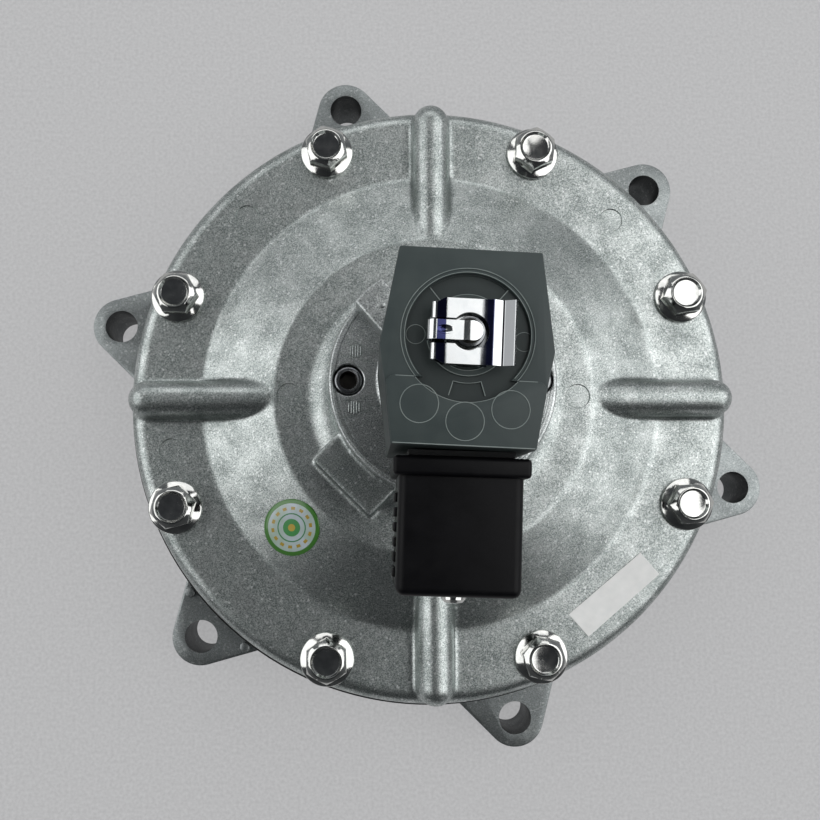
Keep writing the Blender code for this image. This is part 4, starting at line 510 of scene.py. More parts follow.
def badge_print(name, centre, turn):
    """A domed resin badge over a print: pale ground, green rings and a gold middle, all plain shapes."""
    made, tree, shader, place = material(name)
    middle = add(tree, "Mapping", {"Vector": place, "Location": [-c * MM for c in centre]})
    own = add(tree, "Mapping", {"Vector": middle, "Rotation": (0.0, 0.0, math.radians(turn))})
    split = add(tree, "SeparateXYZ", {"Vector": own}).outputs
    flat = add(tree, "CombineXYZ", {"X": split["X"], "Y": split["Y"], "Z": 0.0})
    radius = add(tree, "VectorMath", {0: flat}, operation="LENGTH")
    clouds = add(tree, "TexNoise", {"Vector": place, "Scale": 1.0 / (5.0 * MM)})
    paint = add(tree, "ValToRGB", {"Fac": clouds}, [(0.35, "#AFC6B4"), (0.65, "#C9D4DC")])
    angle = add(tree, "Math", {0: split["Y"], 1: split["X"]}, operation="ARCTAN2")
    steps = add(tree, "Math", {0: angle, 1: BADGE_DASHES}, operation="MULTIPLY")
    wave = add(tree, "Math", {0: steps}, operation="SINE")
    dashes = add(tree, "Math", {0: wave, 1: 0.1}, operation="GREATER_THAN")
    for inner, outer, colour in BADGE_RINGS:
        above = add(tree, "Math", {0: radius, 1: inner * MM}, operation="GREATER_THAN")
        below = add(tree, "Math", {0: radius, 1: outer * MM}, operation="LESS_THAN")
        share = add(tree, "Math", {0: above, 1: below}, operation="MULTIPLY")
        if colour == BADGE_DASH_COLOUR:
            share = add(tree, "Math", {0: share, 1: dashes}, operation="MULTIPLY")
        paint = add(tree, "Mix", {"Factor": share, "A": paint, "B": colour}, data_type="RGBA")
    put(tree, shader, {"Base Color": paint, "Roughness": 0.28, "Coat Weight": 0.6, "Coat Roughness": 0.06})
    return made


MAT = {
    # Die-cast aluminium, shot-blasted: grainy mid grey, satin, with tiny painted glints
    "cast_cover": cast_metal("die_cast_aluminium_cover", "#757C7A", "#A8AFAD", "#DADEDC", 0.38),
    # The same casting alloy on the base, duller and more even because it is only tumbled
    "cast_body": cast_metal("die_cast_aluminium_base", "#7A7F7F", "#8C9191", "#9EA3A2", 0.42,
                            grain_mm=0.45, depth_mm=0.04, speck_glint=0.3, streak_glint=0.2),
    # The drilled holes of the lugs: painted dark inside, as painted shade in the holes
    "bore_painted_shade": cast_metal("drilled_aluminium_hole_painted_shade", "#3C4041", "#484C4D", "#575B5B", 0.5,
                            grain_mm=0.5, depth_mm=0.03, speck_glint=0.1, streak_glint=0.1),
    # A sandier skin on the small cap, from its own die
    "cast_cap": cast_metal("die_cast_aluminium_cap", "#757A7A", "#B0B5B4", "#E4E7E6", 0.38,
                           grain_mm=0.34, depth_mm=0.09, streak_glint=0.3),
    # Bright zinc on cold-headed bolts
    "zinc_bolt": plated_steel("bright_zinc_steel", "#DCDCD8", "#C6C7C4", 0.07),
    # Turned stainless steel
    "stainless": plated_steel("turned_stainless_steel", "#9A9C9D", "#85878A", 0.2),
    # Round spring wire with bright zinc
    "spring_steel": plated_steel("zinc_spring_wire", "#D8DADC", "#C2C4C8", 0.14),
    # Pressed spring steel with bright zinc, and painted reflections in bands: dark blue at its bends, near
    # black in the dip, grey on the lip
    "clip_steel": plated_steel("zinc_spring_strip", "#E6E8E8", "#D4D7D8", 0.10, scratch=0.12, reflection_bands=(
        (-7.1, -5.3, 0.12, "#3A3D66"), (3.7, 4.95, 1.1, "#4A4E80"), (6.95, 7.25, 0.1, "#15161C"),
        (7.45, 9.3, 0.12, "#808284"))),
    # Black-oxide steel: almost black, oily satin
    "dark_steel": plated_steel("black_oxide_steel", "#3A3835", "#262524", 0.28),
    # Bare copper
    "copper": wound_wire("enamelled_copper_wire"),
    # Machined brass
    "brass": plated_steel("machined_brass", "#C2A15A", "#A98848", 0.25),
    # Nitrile rubber: black, dull, slightly dusty
    "black_rubber": moulded("nitrile_rubber", "#141516", "#1D1F20", 0.62, 0.35, 0.05, shine=0.35),
    # Glass-filled nylon round the coil: grey-green, matt, with painted shade in its top well
    "coil_resin": moulded("glass_filled_nylon_grey_green", "#384141", "#404948", 0.5, 0.22, 0.03, shine=0.35,
                          well=(163.5, 164.1, 0.62)),
    # The same nylon painted pale on its raised lines, as their painted highlight
    "painted_highlight_edge": moulded("nylon_edge_painted_highlight", "#76807E", "#89918E", 0.5, 0.3, 0.01, shine=0.35),
    # Glass-filled nylon plug: black with a faint sheen
    "black_plastic": moulded("glass_filled_nylon_black", "#050507", "#08080B", 0.42, 0.25, 0.04, shine=0.16),
    # Natural nylon
    "pale_plastic": moulded("natural_nylon", "#CFC8B4", "#DAD4C2", 0.45, 0.3, 0.03),
}


# Pieces

def make_cover():
    """The die-cast cover: one soft skin for the outside, with crisp bores and mouths cut into it."""
    low, top = levels("top_cover")
    face = low + FLANGE_THICKNESS
    plateau = face + DOME_RISE
    foot = arc((TOWER_RADIUS + TOWER_FILLET, plateau + TOWER_FILLET), TOWER_FILLET, 180.0, 270.0, 14)
    roll = arc((COVER_RADIUS - RIM_ROLL, face - RIM_ROLL), RIM_ROLL, 90.0, 0.0, 10)
    cover = solid_turned("cover_casting", [(0.0, top), (TOWER_RADIUS, top)] + foot + [
        (SLOPE_TOP, plateau), (SLOPE_FOOT, face)] + roll + [
        (COVER_RADIUS, low), (0.0, low)], 192)
    half = RIB_WIDTH / 2
    axis = plateau - RIB_DROP - half
    start, end = SLOPE_TOP - half, RIB_REACH - half
    bar = moved(rod("rib", half, start, end), shift(0.0, 0.0, axis) @ ALONG_X)
    nose = rod("rib_nose", half, face - half, axis, (end, 0.0))
    round_end = settle(ball(half, (end, 0.0, axis), 48))
    stem = box("rib_stem", (start, -half, face - half), (end, half, axis))
    ribs = ring_of(merged("ribs", bar, nose, round_end, stem), 4)
    block = box("exhaust_block", (26.0, -12.5, plateau - COVER_WALL / 2), (43.0, 12.5, plateau + 20.0),
                EXHAUST_ANGLE)
    cover = merged("cover_casting", cover, ribs, block)
    cast_skin(cover, 0.75, 4, 0.42)
    chamber = solid_turned("chamber", [
        (0.0, top + 1.0), (6.0, top + 1.0), (6.0, 62.5), (22.5, 62.5), (22.5, plateau - COVER_WALL),
        (SLOPE_TOP - 0.5, plateau - COVER_WALL), (SLOPE_FOOT - 0.5, face - COVER_WALL),
        (INLET_RADIUS - 1.0, low + 2.0), (INLET_RADIUS, low - 1.0), (0.0, low - 1.0)])
    cut(cover, chamber)
    cut(cover, turned("exhaust_chamber", [(19.5, top + 1.0), (19.5, 67.5), (9.3, 67.5), (8.2, top + 1.0)]))
    cut(cover, box("duct", (17.3, -10.0, 67.8), (28.3, 5.0, 74.0), EXHAUST_ANGLE))
    cut(cover, box("duct_mouth", (28.0, -10.6, plateau + 2.2), (60.0, 5.6, 74.6), EXHAUST_ANGLE))
    drill(cover, "bolt_hole", 4.5, low - 1.0, face + 1.0, BOLT_CIRCLE, BOLT_COUNT, BOLT_FIRST_ANGLE)
    drill(cover, "tapping", 2.8, 72.3, top + 1.0, CAP_SCREW_CIRCLE, 4, steps=32)
    # Ejector marks: shallow round flats on the flange and the plateau
    for places, on in ((FLANGE_EJECTORS, face), (PLATEAU_EJECTORS, plateau)):
        for place in places:
            cut(cover, rod("ejector_mark", EJECTOR_RADIUS, on - EJECTOR_DEPTH, on + 1.0, place, 64, 4.5))
    dress(cover, "root", "cast_cover", "top_cover", angle=38.0)


def make_body():
    """The die-cast base under the cover: ring, outlet tube on four webs, and six lugs."""
    low, top = levels("valve_body")
    ring = turned("base_casting", [
        (BODY_RADIUS - 1.0, top), (BODY_RADIUS - 0.3, top - 0.3), (BODY_RADIUS, top - 1.0), (98.8, low + 0.6),
        (98.2, low), (93.95, low), (93.95, 5.7), (87.85, 5.7), (87.85, low), (INLET_RADIUS + 0.5, low),
        (INLET_RADIUS, low + 0.5), (INLET_RADIUS, top - 0.6), (INLET_RADIUS + 0.6, top)], 192)
    tube = turned("outlet_tube", [
        (39.2, 26.2), (40.4, 26.1), (41.1, 25.3), (50.5, 18.0), (50.5, low + 0.5), (50.0, low), (45.2, low),
        (44.7, 0.5), (44.7, 6.85), (47.8, 6.85), (47.8, 11.15), (44.7, 11.15), (44.7, 18.0), (38.5, 18.0),
        (38.5, 25.3), (38.7, 25.9)], 144)
    lugs = slab("lugs", lug_outline(), low, LUG_HEIGHT)
    lugs = ring_of(soften(lugs, 0.5, 2, 50.0), LUG_COUNT, LUG_FIRST_ANGLE)
    webs = box("webs", (49.0, -4.0, 4.0), (INLET_RADIUS + 2.0, 4.0, 17.0))
    webs = ring_of(soften(webs, 0.9, 3), 4, 45.0)
    pip = rod("pips", 1.75, LUG_HEIGHT / 2, LUG_HEIGHT + 2.4, (107.4, 0.0), 32)
    soften(pip, 0.35, 2)
    pips = merged("pips", moved(duplicate(pip), about_z(217.7)), moved(pip, about_z(232.3)))
    for tool in (tube, webs, lugs, pips):
        join(ring, tool)
    drill(ring, "lug_hole", LUG_HOLE_RADIUS, low - 1.0, LUG_HEIGHT + 1.0, LUG_CIRCLE, LUG_COUNT,
          LUG_FIRST_ANGLE, 64)
    drill(ring, "bolt_tapping", 4.3, 12.1, top + 1.0, BOLT_CIRCLE, BOLT_COUNT, BOLT_FIRST_ANGLE)
    dress(ring, "root", "cast_body", "valve_body")
    # The walls of the lug holes take the dark bore finish: painted shade in the holes
    spots = [Vector((LUG_CIRCLE, 0.0, 0.0)) @ about_z(-LUG_FIRST_ANGLE - 360.0 * i / LUG_COUNT).to_3x3()
             for i in range(LUG_COUNT)]
    second_finish(ring, MAT["bore_painted_shade"], lambda centre, normal: abs(normal.z) < 0.5 and any(
        math.dist(centre.xy, spot.xy) < LUG_HOLE_RADIUS + 0.2 for spot in spots))


def lug_outline():
    """One lug in plan, on the +X side: a round tip with flanks that flare into the base."""
    tip = arc((LUG_CIRCLE, 0.0), 10.2, -60.0, 60.0, 20)
    root = BODY_RADIUS - 6.0
    spread = tip[-1][1] + (tip[-1][0] - root) * math.tan(math.radians(30.0))
    return [(root, -spread)] + tip + [(root, spread)]


def make_seals():
    """The rubber rings and the edge of the main diaphragm that shows under the rim."""
    for name, node, radius, section, middle in (
            ("tank_seal", "tank_face_o_ring", 90.9, 5.3, 2.8),
            ("outlet_seal", "outlet_o_ring", 45.65, 3.5, 9.0),
            ("stem_seal", "stem_o_ring", 8.95, 1.5, 100.3)):
        half = section / 2
        flash = [(radius + half + 0.05, middle), (radius - half - 0.05, middle)]
        outer = arc((radius, middle), half, 80.0, 10.0, 8)
        under = arc((radius, middle), half, -10.0, -170.0, 16)
        inner = arc((radius, middle), half, 170.0, 100.0, 7)
        ring = turned(name, outer + flash[:1] + under + flash[1:] + inner, 128)
        dress(ring, "root", "black_rubber", node)
    low, top = levels("main_diaphragm")[0], levels("top_cover")[0] - 0.3
    rim = turned("diaphragm_rubber", [
        (104.3, top), (104.6, top - 0.4), (104.6, low + 0.5), (104.2, low), (82.0, low), (72.2, 32.6),
        (62.5, 34.8), (52.6, 32.6), (43.4, 30.2), (6.0, 30.2), (6.0, 32.4), (42.8, 32.4), (52.6, 35.9),
        (58.0, 36.8), (62.5, 37.0), (67.0, 36.8), (72.2, 35.9), (82.0, top)], 144)
    drill(rim, "rubber_hole", 4.5, low - 1.0, top + 1.0, BOLT_CIRCLE, BOLT_COUNT, BOLT_FIRST_ANGLE)
    flexing(rim, "main_diaphragm")


def flexing(sheet, node, count=12):
    """A rubber sheet in sectors that meet edge to edge."""
    low, high = levels(node)
    for i in range(count):
        middle = 360.0 * i / count
        wedge = slab("wedge", [(0.0, 0.0)] + arc((0.0, 0.0), 130.0, middle - 180.0 / count,
                                                middle + 180.0 / count, 8), low - 20.0, high + 20.0)
        piece = duplicate(sheet)
        piece.name = f"{sheet.name}_{i + 1}"
        smooth(combine(piece, wedge, "INTERSECT"))
        coat(piece, MAT["black_rubber"])
        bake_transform(piece)
        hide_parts(node)
    bpy.data.objects.remove(sheet)


def hexagon(name, flats, low, high, centre=(0.0, 0.0), crown=0.86):
    """A hexagon with its corners turned off at the top and at the bottom."""
    radius = flats / math.sqrt(3)
    flat, drop = flats / 2 * 0.97, (radius - flats / 2) * crown
    piece = rod(name, radius, low, high, centre, 6)
    lens = solid_turned(name + "_crown", [
        (0.0, high), (flat, high), (radius * 1.02, high - drop), (radius * 1.02, low + drop), (flat, low),
        (0.0, low)])
    return combine(piece, moved(lens, shift(*centre)), "INTERSECT")


def make_cover_bolts():
    """Flange bolts: a coned skirt, a hexagon under a round crown, and a wide dish with a thin lip."""
    face = levels("top_cover")[0] + FLANGE_THICKNESS + 0.3
    end, top = levels("cover_bolt_1")
    bolt = solid_turned("flange_bolt", [
        (0.0, face + 2.3), (6.4, face + 2.2), (6.9, face + 1.95), (8.45, face + 1.35), (8.8, face + 1.1),
        (8.95, face + 0.8), (8.9, face + 0.3), (8.6, face), (4.0, face), (4.0, end + 0.8), (3.2, end),
        (0.0, end)])
    corner = HEAD_FLATS / math.sqrt(3)
    head = rod("bolt_head", corner, face + 0.6, top, (0.0, 0.0), 6)
    crown = solid_turned("bolt_crown", [
        (0.0, top), (5.15, top), (5.45, top - 0.08), (5.7, top - 0.26), (6.5, top - 0.85),
        (corner, top - 1.75), (corner + 0.5, face), (0.0, face)])
    combine(head, crown, "INTERSECT")
    soften(head, 0.12, 2, 25.0)
    join(bolt, head)
    dish = solid_turned("bolt_dish", [
        (0.0, top - 0.85), (4.0, top - 0.9), (4.35, top - 0.84), (4.6, top - 0.62), (4.95, top - 0.16),
        (5.2, top + 0.1), (0.0, top + 0.1)])
    cut(bolt, dish)
    for i in range(BOLT_COUNT):
        angle = BOLT_FIRST_ANGLE + 360.0 * i / BOLT_COUNT
        copy = duplicate(bolt)
        copy.name = f"flange_bolt_{i + 1}"
        moved(copy, about_z(angle) @ shift(BOLT_CIRCLE, 0.0) @ about_z(angle * 0.7))
        dress(copy, "root", "zinc_bolt", f"cover_bolt_{i + 1}", angle=24.0)
    bpy.data.objects.remove(bolt)


def make_cap():
    """The pilot cap: double-edged round cover with a boss, a raised bar and four counterbores."""
    low, boss_top = levels("pilot_cap")
    top = low + CAP_THICKNESS
    foot = arc((20.0, top + 1.6), 1.6, 200.0, 270.0, 8)
    cap = turned("cap_casting", [
        (10.6, boss_top), (15.9, boss_top), (16.5, boss_top - 0.6)] + foot + [
        (30.6, top), (30.9, top - 0.35), (31.3, top - 0.35), (31.55, top), (32.15, top), (32.4, top - 0.4),
        (32.7, top - 0.4), (33.1, top - 0.6), (CAP_RADIUS, top - 1.1),
        (CAP_RADIUS, low + 0.3), (CAP_RADIUS - 0.3, low), (19.0, low), (18.2, 90.4), (1.2, 90.4),
        (1.2, 97.6), (1.6, 97.6), (2.5, 96.0), (10.0, 96.0), (10.0, boss_top - 0.6)], 192)
    bar = box("vent_bar", (13.2, -5.2, top - 0.8), (34.5, 5.2, top + CAP_BAR_HEIGHT), CAP_BAR_ANGLE)
    combine(bar, rod("bar_end", CAP_RADIUS, top - 2.0, top + 20.0, steps=192), "INTERSECT")
    join(cap, soften(bar, 0.9, 3, 50.0))
    pip = rod("bar_pip", 0.9, top + 4.0, top + CAP_BAR_HEIGHT + 0.5, (27.0, 0.0), 32)
    soften(pip, 0.25, 2)
    join(cap, moved(pip, about_z(CAP_BAR_ANGLE)))
    bores = solid_turned("counterbore", [
        (0.0, top + 0.5), (5.3, top + 0.5), (4.85, top - 0.15), (4.6, top - 0.3), (4.6, top - 5.3),
        (3.0, top - 5.3), (3.0, low - 1.0), (0.0, low - 1.0)], 64)
    cut(cap, ring_of(moved(bores, shift(CAP_SCREW_CIRCLE, 0.0)), 4))
    # Two round marks with five rubbed ridges each
    for x, y in CAP_MARKS:
        cut(cap, rod("cap_mark", CAP_MARK_RADIUS, top - 0.3, top + 1.0, (x, y), 40))
        for k in range(-2, 3):
            across = x + k * 0.75
            reach = math.sqrt(2.0 ** 2 - (k * 0.75) ** 2)
            ridge = box("mark_ridge", (across - 0.26, y - reach, top - 0.4),
                        (across + 0.26, y + reach, top + 0.12))
            join(cap, soften(ridge, 0.22, 3))
    vent = rod("vent", 1.5, 9.0, 40.0, steps=32)
    cut(cap, moved(vent, about_z(CAP_BAR_ANGLE) @ shift(0.0, 0.0, 98.5) @ ALONG_X))
    dress(cap, "root", "cast_cap", "pilot_cap")
    second_finish(cap, MAT["cast_cover"], lambda centre, normal: centre.z > top - 0.28 and min(
        math.dist(centre.xy, mark) for mark in CAP_MARKS) < CAP_MARK_RADIUS - 0.05)
    screw = solid_turned("cap_screw", [
        (0.0, top), (3.45, top), (3.75, top - 0.12), (4.05, top - 0.4), (4.2, top - 0.75), (4.25, top - 1.1),
        (4.25, top - 5.0), (2.5, top - 5.0), (2.5, top - 20.6), (2.1, top - 21.0), (0.0, top - 21.0)], 64)
    cut(screw, rod("socket", 4.4 / math.sqrt(3), top - 3.2, top + 1.0, steps=6))
    cut(screw, rod("socket_lead", 2.2, top - 0.45, top + 0.1, steps=48, top_radius=2.8))
    for i in range(4):
        copy = duplicate(screw)
        copy.name = f"cap_socket_screw_{i + 1}"
        moved(copy, about_z(90.0 * i) @ shift(CAP_SCREW_CIRCLE, 0.0) @ about_z(12.0))
        dress(copy, "root", "zinc_bolt", f"pilot_cap_screw_{i + 1}", finish=MAT["stainless"])
        spot = about_z(90.0 * i).to_3x3() @ Vector((CAP_SCREW_CIRCLE, 0.0, 0.0))
        second_finish(copy, MAT["dark_steel"], lambda centre, normal: math.dist(centre.xy, spot.xy) < 2.7)
    bpy.data.objects.remove(screw)
    sheet_low = levels("pilot_diaphragm")[0]
    sheet_top = sheet_low + 1.2
    sheet = turned("pilot_rubber", [
        (32.8, sheet_top - 0.1), (32.8, sheet_low + 0.1), (32.7, sheet_low), (2.3, sheet_low),
        (2.3, sheet_top), (32.7, sheet_top)], 128)
    drill(sheet, "rubber_hole", 3.0, sheet_low - 1.0, sheet_low + 2.0, CAP_SCREW_CIRCLE, 4, steps=32)
    flexing(sheet, "pilot_diaphragm")


def make_lift_parts():
    """What hangs on the main diaphragm and shows through the outlet: pad, plates, bolt and nut."""
    pad_low = levels("seat_pad")[0]
    pad = turned("seat_rubber", [
        (41.4, pad_low + 3.4), (41.8, pad_low + 3.0), (41.8, pad_low + 0.4), (41.4, pad_low), (5.5, pad_low),
        (5.5, pad_low + 3.4)])
    dress(pad, "main_disc", "black_rubber", "seat_pad")
    plate_low = levels("retainer_plate")[0]
    plate = turned("retainer_disc", [
        (35.0, plate_low + 2.8), (35.0, plate_low + 1.4), (33.6, plate_low), (12.0, plate_low),
        (11.0, plate_low + 0.3), (5.5, plate_low + 0.3), (5.5, plate_low + 2.8)])
    dress(plate, "main_disc", "cast_body", "retainer_plate")
    low, top = levels("upper_plate")
    upper = turned("spring_plate", [
        (39.5, top - 0.4), (39.5, low), (5.5, low), (5.5, low + 3.0), (20.1, low + 3.0), (20.4, top - 1.0),
        (37.5, top - 1.0), (38.5, top), (39.1, top)])
    dress(upper, "main_disc", "cast_body", "upper_plate")
    low, top = levels("centre_nut")
    nut = hexagon("lock_nut", 17.0, low, top)
    cut(nut, rod("nut_bore", 5.3, low - 1.0, top + 1.0))
    soften(nut, 0.2, 2)
    dress(nut, "main_disc", "zinc_bolt", "centre_nut")
    low, top = levels("centre_bolt")
    head_low = top - 6.4
    bolt = hexagon("lift_bolt", 17.0, head_low, top)
    thread = [(5.0 - 0.35 * (i % 2), head_low + 1.0 - i * 0.6) for i in range(0, 45)]
    join(bolt, solid_turned("bolt_thread", [(0.0, head_low + 1.0)] + thread + [(4.2, low), (0.0, low)], 64))
    dress(bolt, "main_disc", "zinc_bolt", "centre_bolt")


def make_spring(name, node, wire, radius, turns):
    """A compression spring with closed ends."""
    low, high = levels(node)
    low, high = low + wire, high - wire
    dead, per_turn = 0.75, 28
    count = int((turns + 2 * dead) * per_turn)
    span = high - low - 4 * wire
    curve = bpy.data.curves.new(name, "CURVE")
    curve.dimensions = "3D"
    curve.bevel_depth = wire * MM
    curve.bevel_resolution = 4
    curve.use_fill_caps = True
    line = curve.splines.new("POLY")
    line.points.add(count)
    for i, point in enumerate(line.points):
        turn = i / per_turn
        ends = min(turn, dead) / dead + max(turn - turns - dead, 0.0) / dead
        height = low + 2 * wire * ends + span * min(max(turn - dead, 0.0), turns) / turns
        angle = 2 * math.pi * turn
        point.co = (radius * math.cos(angle) * MM, radius * math.sin(angle) * MM, height * MM, 1.0)
    use(linked(name, curve))
    bpy.ops.object.convert(target="MESH")
    spring = tidy(bpy.context.object)
    dress(spring, "root", "spring_steel", node, angle=60.0)
    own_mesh(spring)


def make_stem():
    """The stem tube with its hexagon, and the neck and head that hold the clip."""
    hex_low, head_top = levels("pilot_cap")[1] + 0.3, levels("solenoid_stem")[1]
    stem = solid_turned("stem_tube", [
        (0.0, head_top), (2.7, head_top), (3.25, head_top - 0.2), (3.4, head_top - 0.6), (3.4, 166.2),
        (2.7, 166.2), (2.7, 165.0), (5.9, 165.0), (6.5, 164.4), (6.5, hex_low), (9.6, hex_low), (9.6, 101.3),
        (8.15, 101.3), (8.15, 99.2), (9.6, 99.2), (9.6, 98.6), (9.3, 98.3), (5.3, 98.3), (5.3, 162.6),
        (0.0, 162.6)])
    nut = hexagon("stem_hexagon", 24.0, hex_low, hex_low + 4.5)
    cut(nut, rod("stem_bore", 5.9, hex_low - 1.0, hex_low + 6.0))
    join(stem, nut)
    dress(stem, "root", "stainless", "solenoid_stem")
    second_finish(stem, MAT["dark_steel"], lambda centre, normal: centre.z > 165.2 and (
        normal.z > 0.97 or normal.z < 0.3))


def coil_outline():
    """The coil's plan in its own frame: narrow at the top end, widest below the middle."""
    right = [(COIL_TOP_HALF, COIL_TOP_END), (COIL_WAIST_HALF, COIL_WAIST_Y),
             (COIL_SHOULDER_HALF, COIL_SHOULDER_Y), (COIL_END_HALF, -COIL_END)]
    return right + [(-x, y) for x, y in reversed(right)]


def sector(name, inner, outer, first, last, low, high):
    """A ring sector between two angles and two levels."""
    outline = arc((0.0, 0.0), outer, first, last, 16) + arc((0.0, 0.0), inner, last, first, 12)
    return slab(name, outline, low, high)


def make_coil():
    """The moulded coil: tapered block, raised pad, round well with its hub, and the slots for its pins."""
    low, top = levels("coil_housing")
    top -= COIL_PAD_RISE
    pad_top = top + COIL_PAD_RISE
    coil = slab("coil_moulding", coil_outline(), low, top)
    soften(coil, 0.35, 2, 20.0)
    foot, shoulder = COIL_END_HALF - 0.15, COIL_SHOULDER_HALF - 0.3
    pad = slab("coil_pad", [(shoulder, COIL_SHOULDER_Y), (foot, 0.15 - COIL_END), (-foot, 0.15 - COIL_END),
                            (-shoulder, COIL_SHOULDER_Y)], top - 1.0, pad_top)
    round_corners(pad, 2.2, COIL_SHOULDER_Y)
    soften(pad, 0.15, 2, 60.0)
    join(coil, pad)
    floor = top - COIL_WELL_DEPTH
    cut(coil, rod("coil_well", 14.85, floor, top + 3.0, steps=128))
    rim = turned("well_rim", [
        (13.6, floor - 0.4), (13.6, top), (13.75, top + 0.2), (13.95, top + 0.2), (14.1, top + 0.05),
        (14.4, top + 0.05), (14.55, top + 0.2), (14.75, top + 0.2), (14.95, top), (14.95, floor - 0.4)], 128)
    keep = box("rim_keep", (-20.0, COIL_SHOULDER_Y - 0.02, top - 2.0), (20.0, 20.0, top + 2.0))
    combine(rim, keep, "INTERSECT")
    join(coil, rim)
    hub = turned("well_hub", [(7.6, floor - 0.5), (7.6, floor + 0.45), (7.8, floor + 0.6), (8.9, floor + 0.6),
                              (9.1, floor + 0.45), (9.1, floor - 0.5)], 96)
    join(coil, hub)
    cut(coil, sector("upper_field", 9.4, 13.3, *UPPER_FIELD, floor - 0.35, floor + 1.0))
    cut(coil, sector("lower_field", 10.6, 13.8, *LOWER_FIELD, floor - 0.35, floor + 1.0))
    bore = solid_turned("coil_bore", [
        (0.0, top + 5.0), (7.0, top + 5.0), (7.0, top - 3.4), (15.3, top - 3.4), (15.3, low + 3.4),
        (7.0, low + 3.4), (7.0, low - 2.0), (0.0, low - 2.0)])
    cut(coil, bore)
    middle = sum(levels("connector_insert")) / 2
    for x in (-9.0, 9.0):
        cut(coil, box("blade_slot", (x - 0.7, -30.0, middle - 3.5), (x + 0.7, -19.2, middle + 3.5)))
    cut(coil, box("earth_slot", (-3.5, -30.0, middle - 9.7), (3.5, -19.2, middle - 8.3)))
    cut(coil, moved(rod("plug_tapping", 1.8, 18.2, 30.0, steps=24), shift(0.0, 0.0, middle) @ ALONG_Y))
    moved(coil, about_z(COIL_TURN))
    dress(coil, "coil_unit", "coil_resin", "coil_housing")
    make_coil_lines(floor, top, pad_top)


def round_corners(piece, radius, edge_y):
    """Rounds the two upright corners of a slab that lie on one line."""
    use(piece)
    bpy.ops.object.mode_set(mode="EDIT")
    bpy.ops.mesh.select_mode(type="EDGE")
    bpy.ops.mesh.select_all(action="DESELECT")
    bpy.ops.object.mode_set(mode="OBJECT")
    for edge in piece.data.edges:
        a, b = (piece.data.vertices[i].co / MM for i in edge.vertices)
        edge.select = abs(a.y - edge_y) < 0.01 and abs(b.y - edge_y) < 0.01 and abs(a.z - b.z) > 0.5
    bpy.ops.object.mode_set(mode="EDIT")
    bpy.ops.mesh.bevel(offset=radius * MM, segments=8, affect="EDGES")
    bpy.ops.object.mode_set(mode="OBJECT")


def bead_ring(radius, on, centre=(0.0, 0.0), first=0.0, last=360.0, width=0.26, rise=0.1):
    """A thin raised line in a circle or an arc, sunk a little into the surface that carries it."""
    half = width / 2
    ring = turned("bead", [
        (radius - half, on - 0.12), (radius - half * 0.6, on + rise), (radius + half * 0.6, on + rise),
        (radius + half, on - 0.12)], 128)
    if last - first < 360.0:
        keep = sector("arc_keep", radius - 1.0, radius + 1.0, first, last, on - 1.0, on + 1.0)
        combine(ring, keep, "INTERSECT")
    return moved(ring, shift(*centre))


def bead_line(start, end, on, width=0.26, rise=0.1):
    """A thin raised straight line between two points."""
    reach = math.dist(start, end)
    line = box("bead", (0.0, -width / 2, on - 0.12), (reach, width / 2, on + rise))
    turn = math.degrees(math.atan2(end[1] - start[1], end[0] - start[0]))
    return moved(line, shift(*start) @ about_z(turn))


def make_coil_lines(floor, top, pad_top):
    """The fine raised lines on the coil, painted pale as painted highlights: rings, field edges, date discs
    and three roundels.
    """
    side = math.degrees(math.asin(COIL_SHOULDER_Y / 14.6))
    lines = [bead_ring(13.85, top + 0.12, first=side, last=180.0 - side),
             bead_ring(14.68, top + 0.12, first=side, last=180.0 - side),
             bead_ring(14.9, pad_top - 0.05, first=180.5 - side, last=359.5 + side, width=0.2),
             bead_ring(8.95, floor + 0.56, width=0.22), bead_ring(7.8, floor + 0.56, width=0.2),
             bead_ring(10.5, floor, first=LOWER_FIELD[0], last=LOWER_FIELD[1], width=0.2)]
    for field, inner, outer in ((UPPER_FIELD, 9.2, 13.5), (LOWER_FIELD, 10.5, 13.8)):
        for angle in field:
            way = (math.cos(math.radians(angle)), math.sin(math.radians(angle)))
            lines.append(bead_line([inner * c for c in way], [outer * c for c in way], floor, 0.2))
    lines += [bead_ring(2.1, floor, place, width=0.18, rise=0.06) for place in DATE_DISCS]
    lines += [bead_ring(4.15, pad_top, place) for place in ROUNDELS]
    shoulder, foot = COIL_SHOULDER_HALF - 2.6, COIL_END_HALF - 0.4
    for side in (-1, 1):
        lines.append(bead_line((side * 11.4, COIL_SHOULDER_Y - 0.1), (side * shoulder, COIL_SHOULDER_Y - 0.1),
                               pad_top - 0.06, 0.18))
    lines.append(bead_line((-foot, 0.3 - COIL_END), (foot, 0.3 - COIL_END), pad_top - 0.08, 0.22))
    # The lines take the pale nylon: painted highlights along the raised edges
    marks = moved(merged("coil_mark_lines", *lines), about_z(COIL_TURN))
    dress(marks, "coil_unit", "coil_resin", finish=MAT["painted_highlight_edge"])


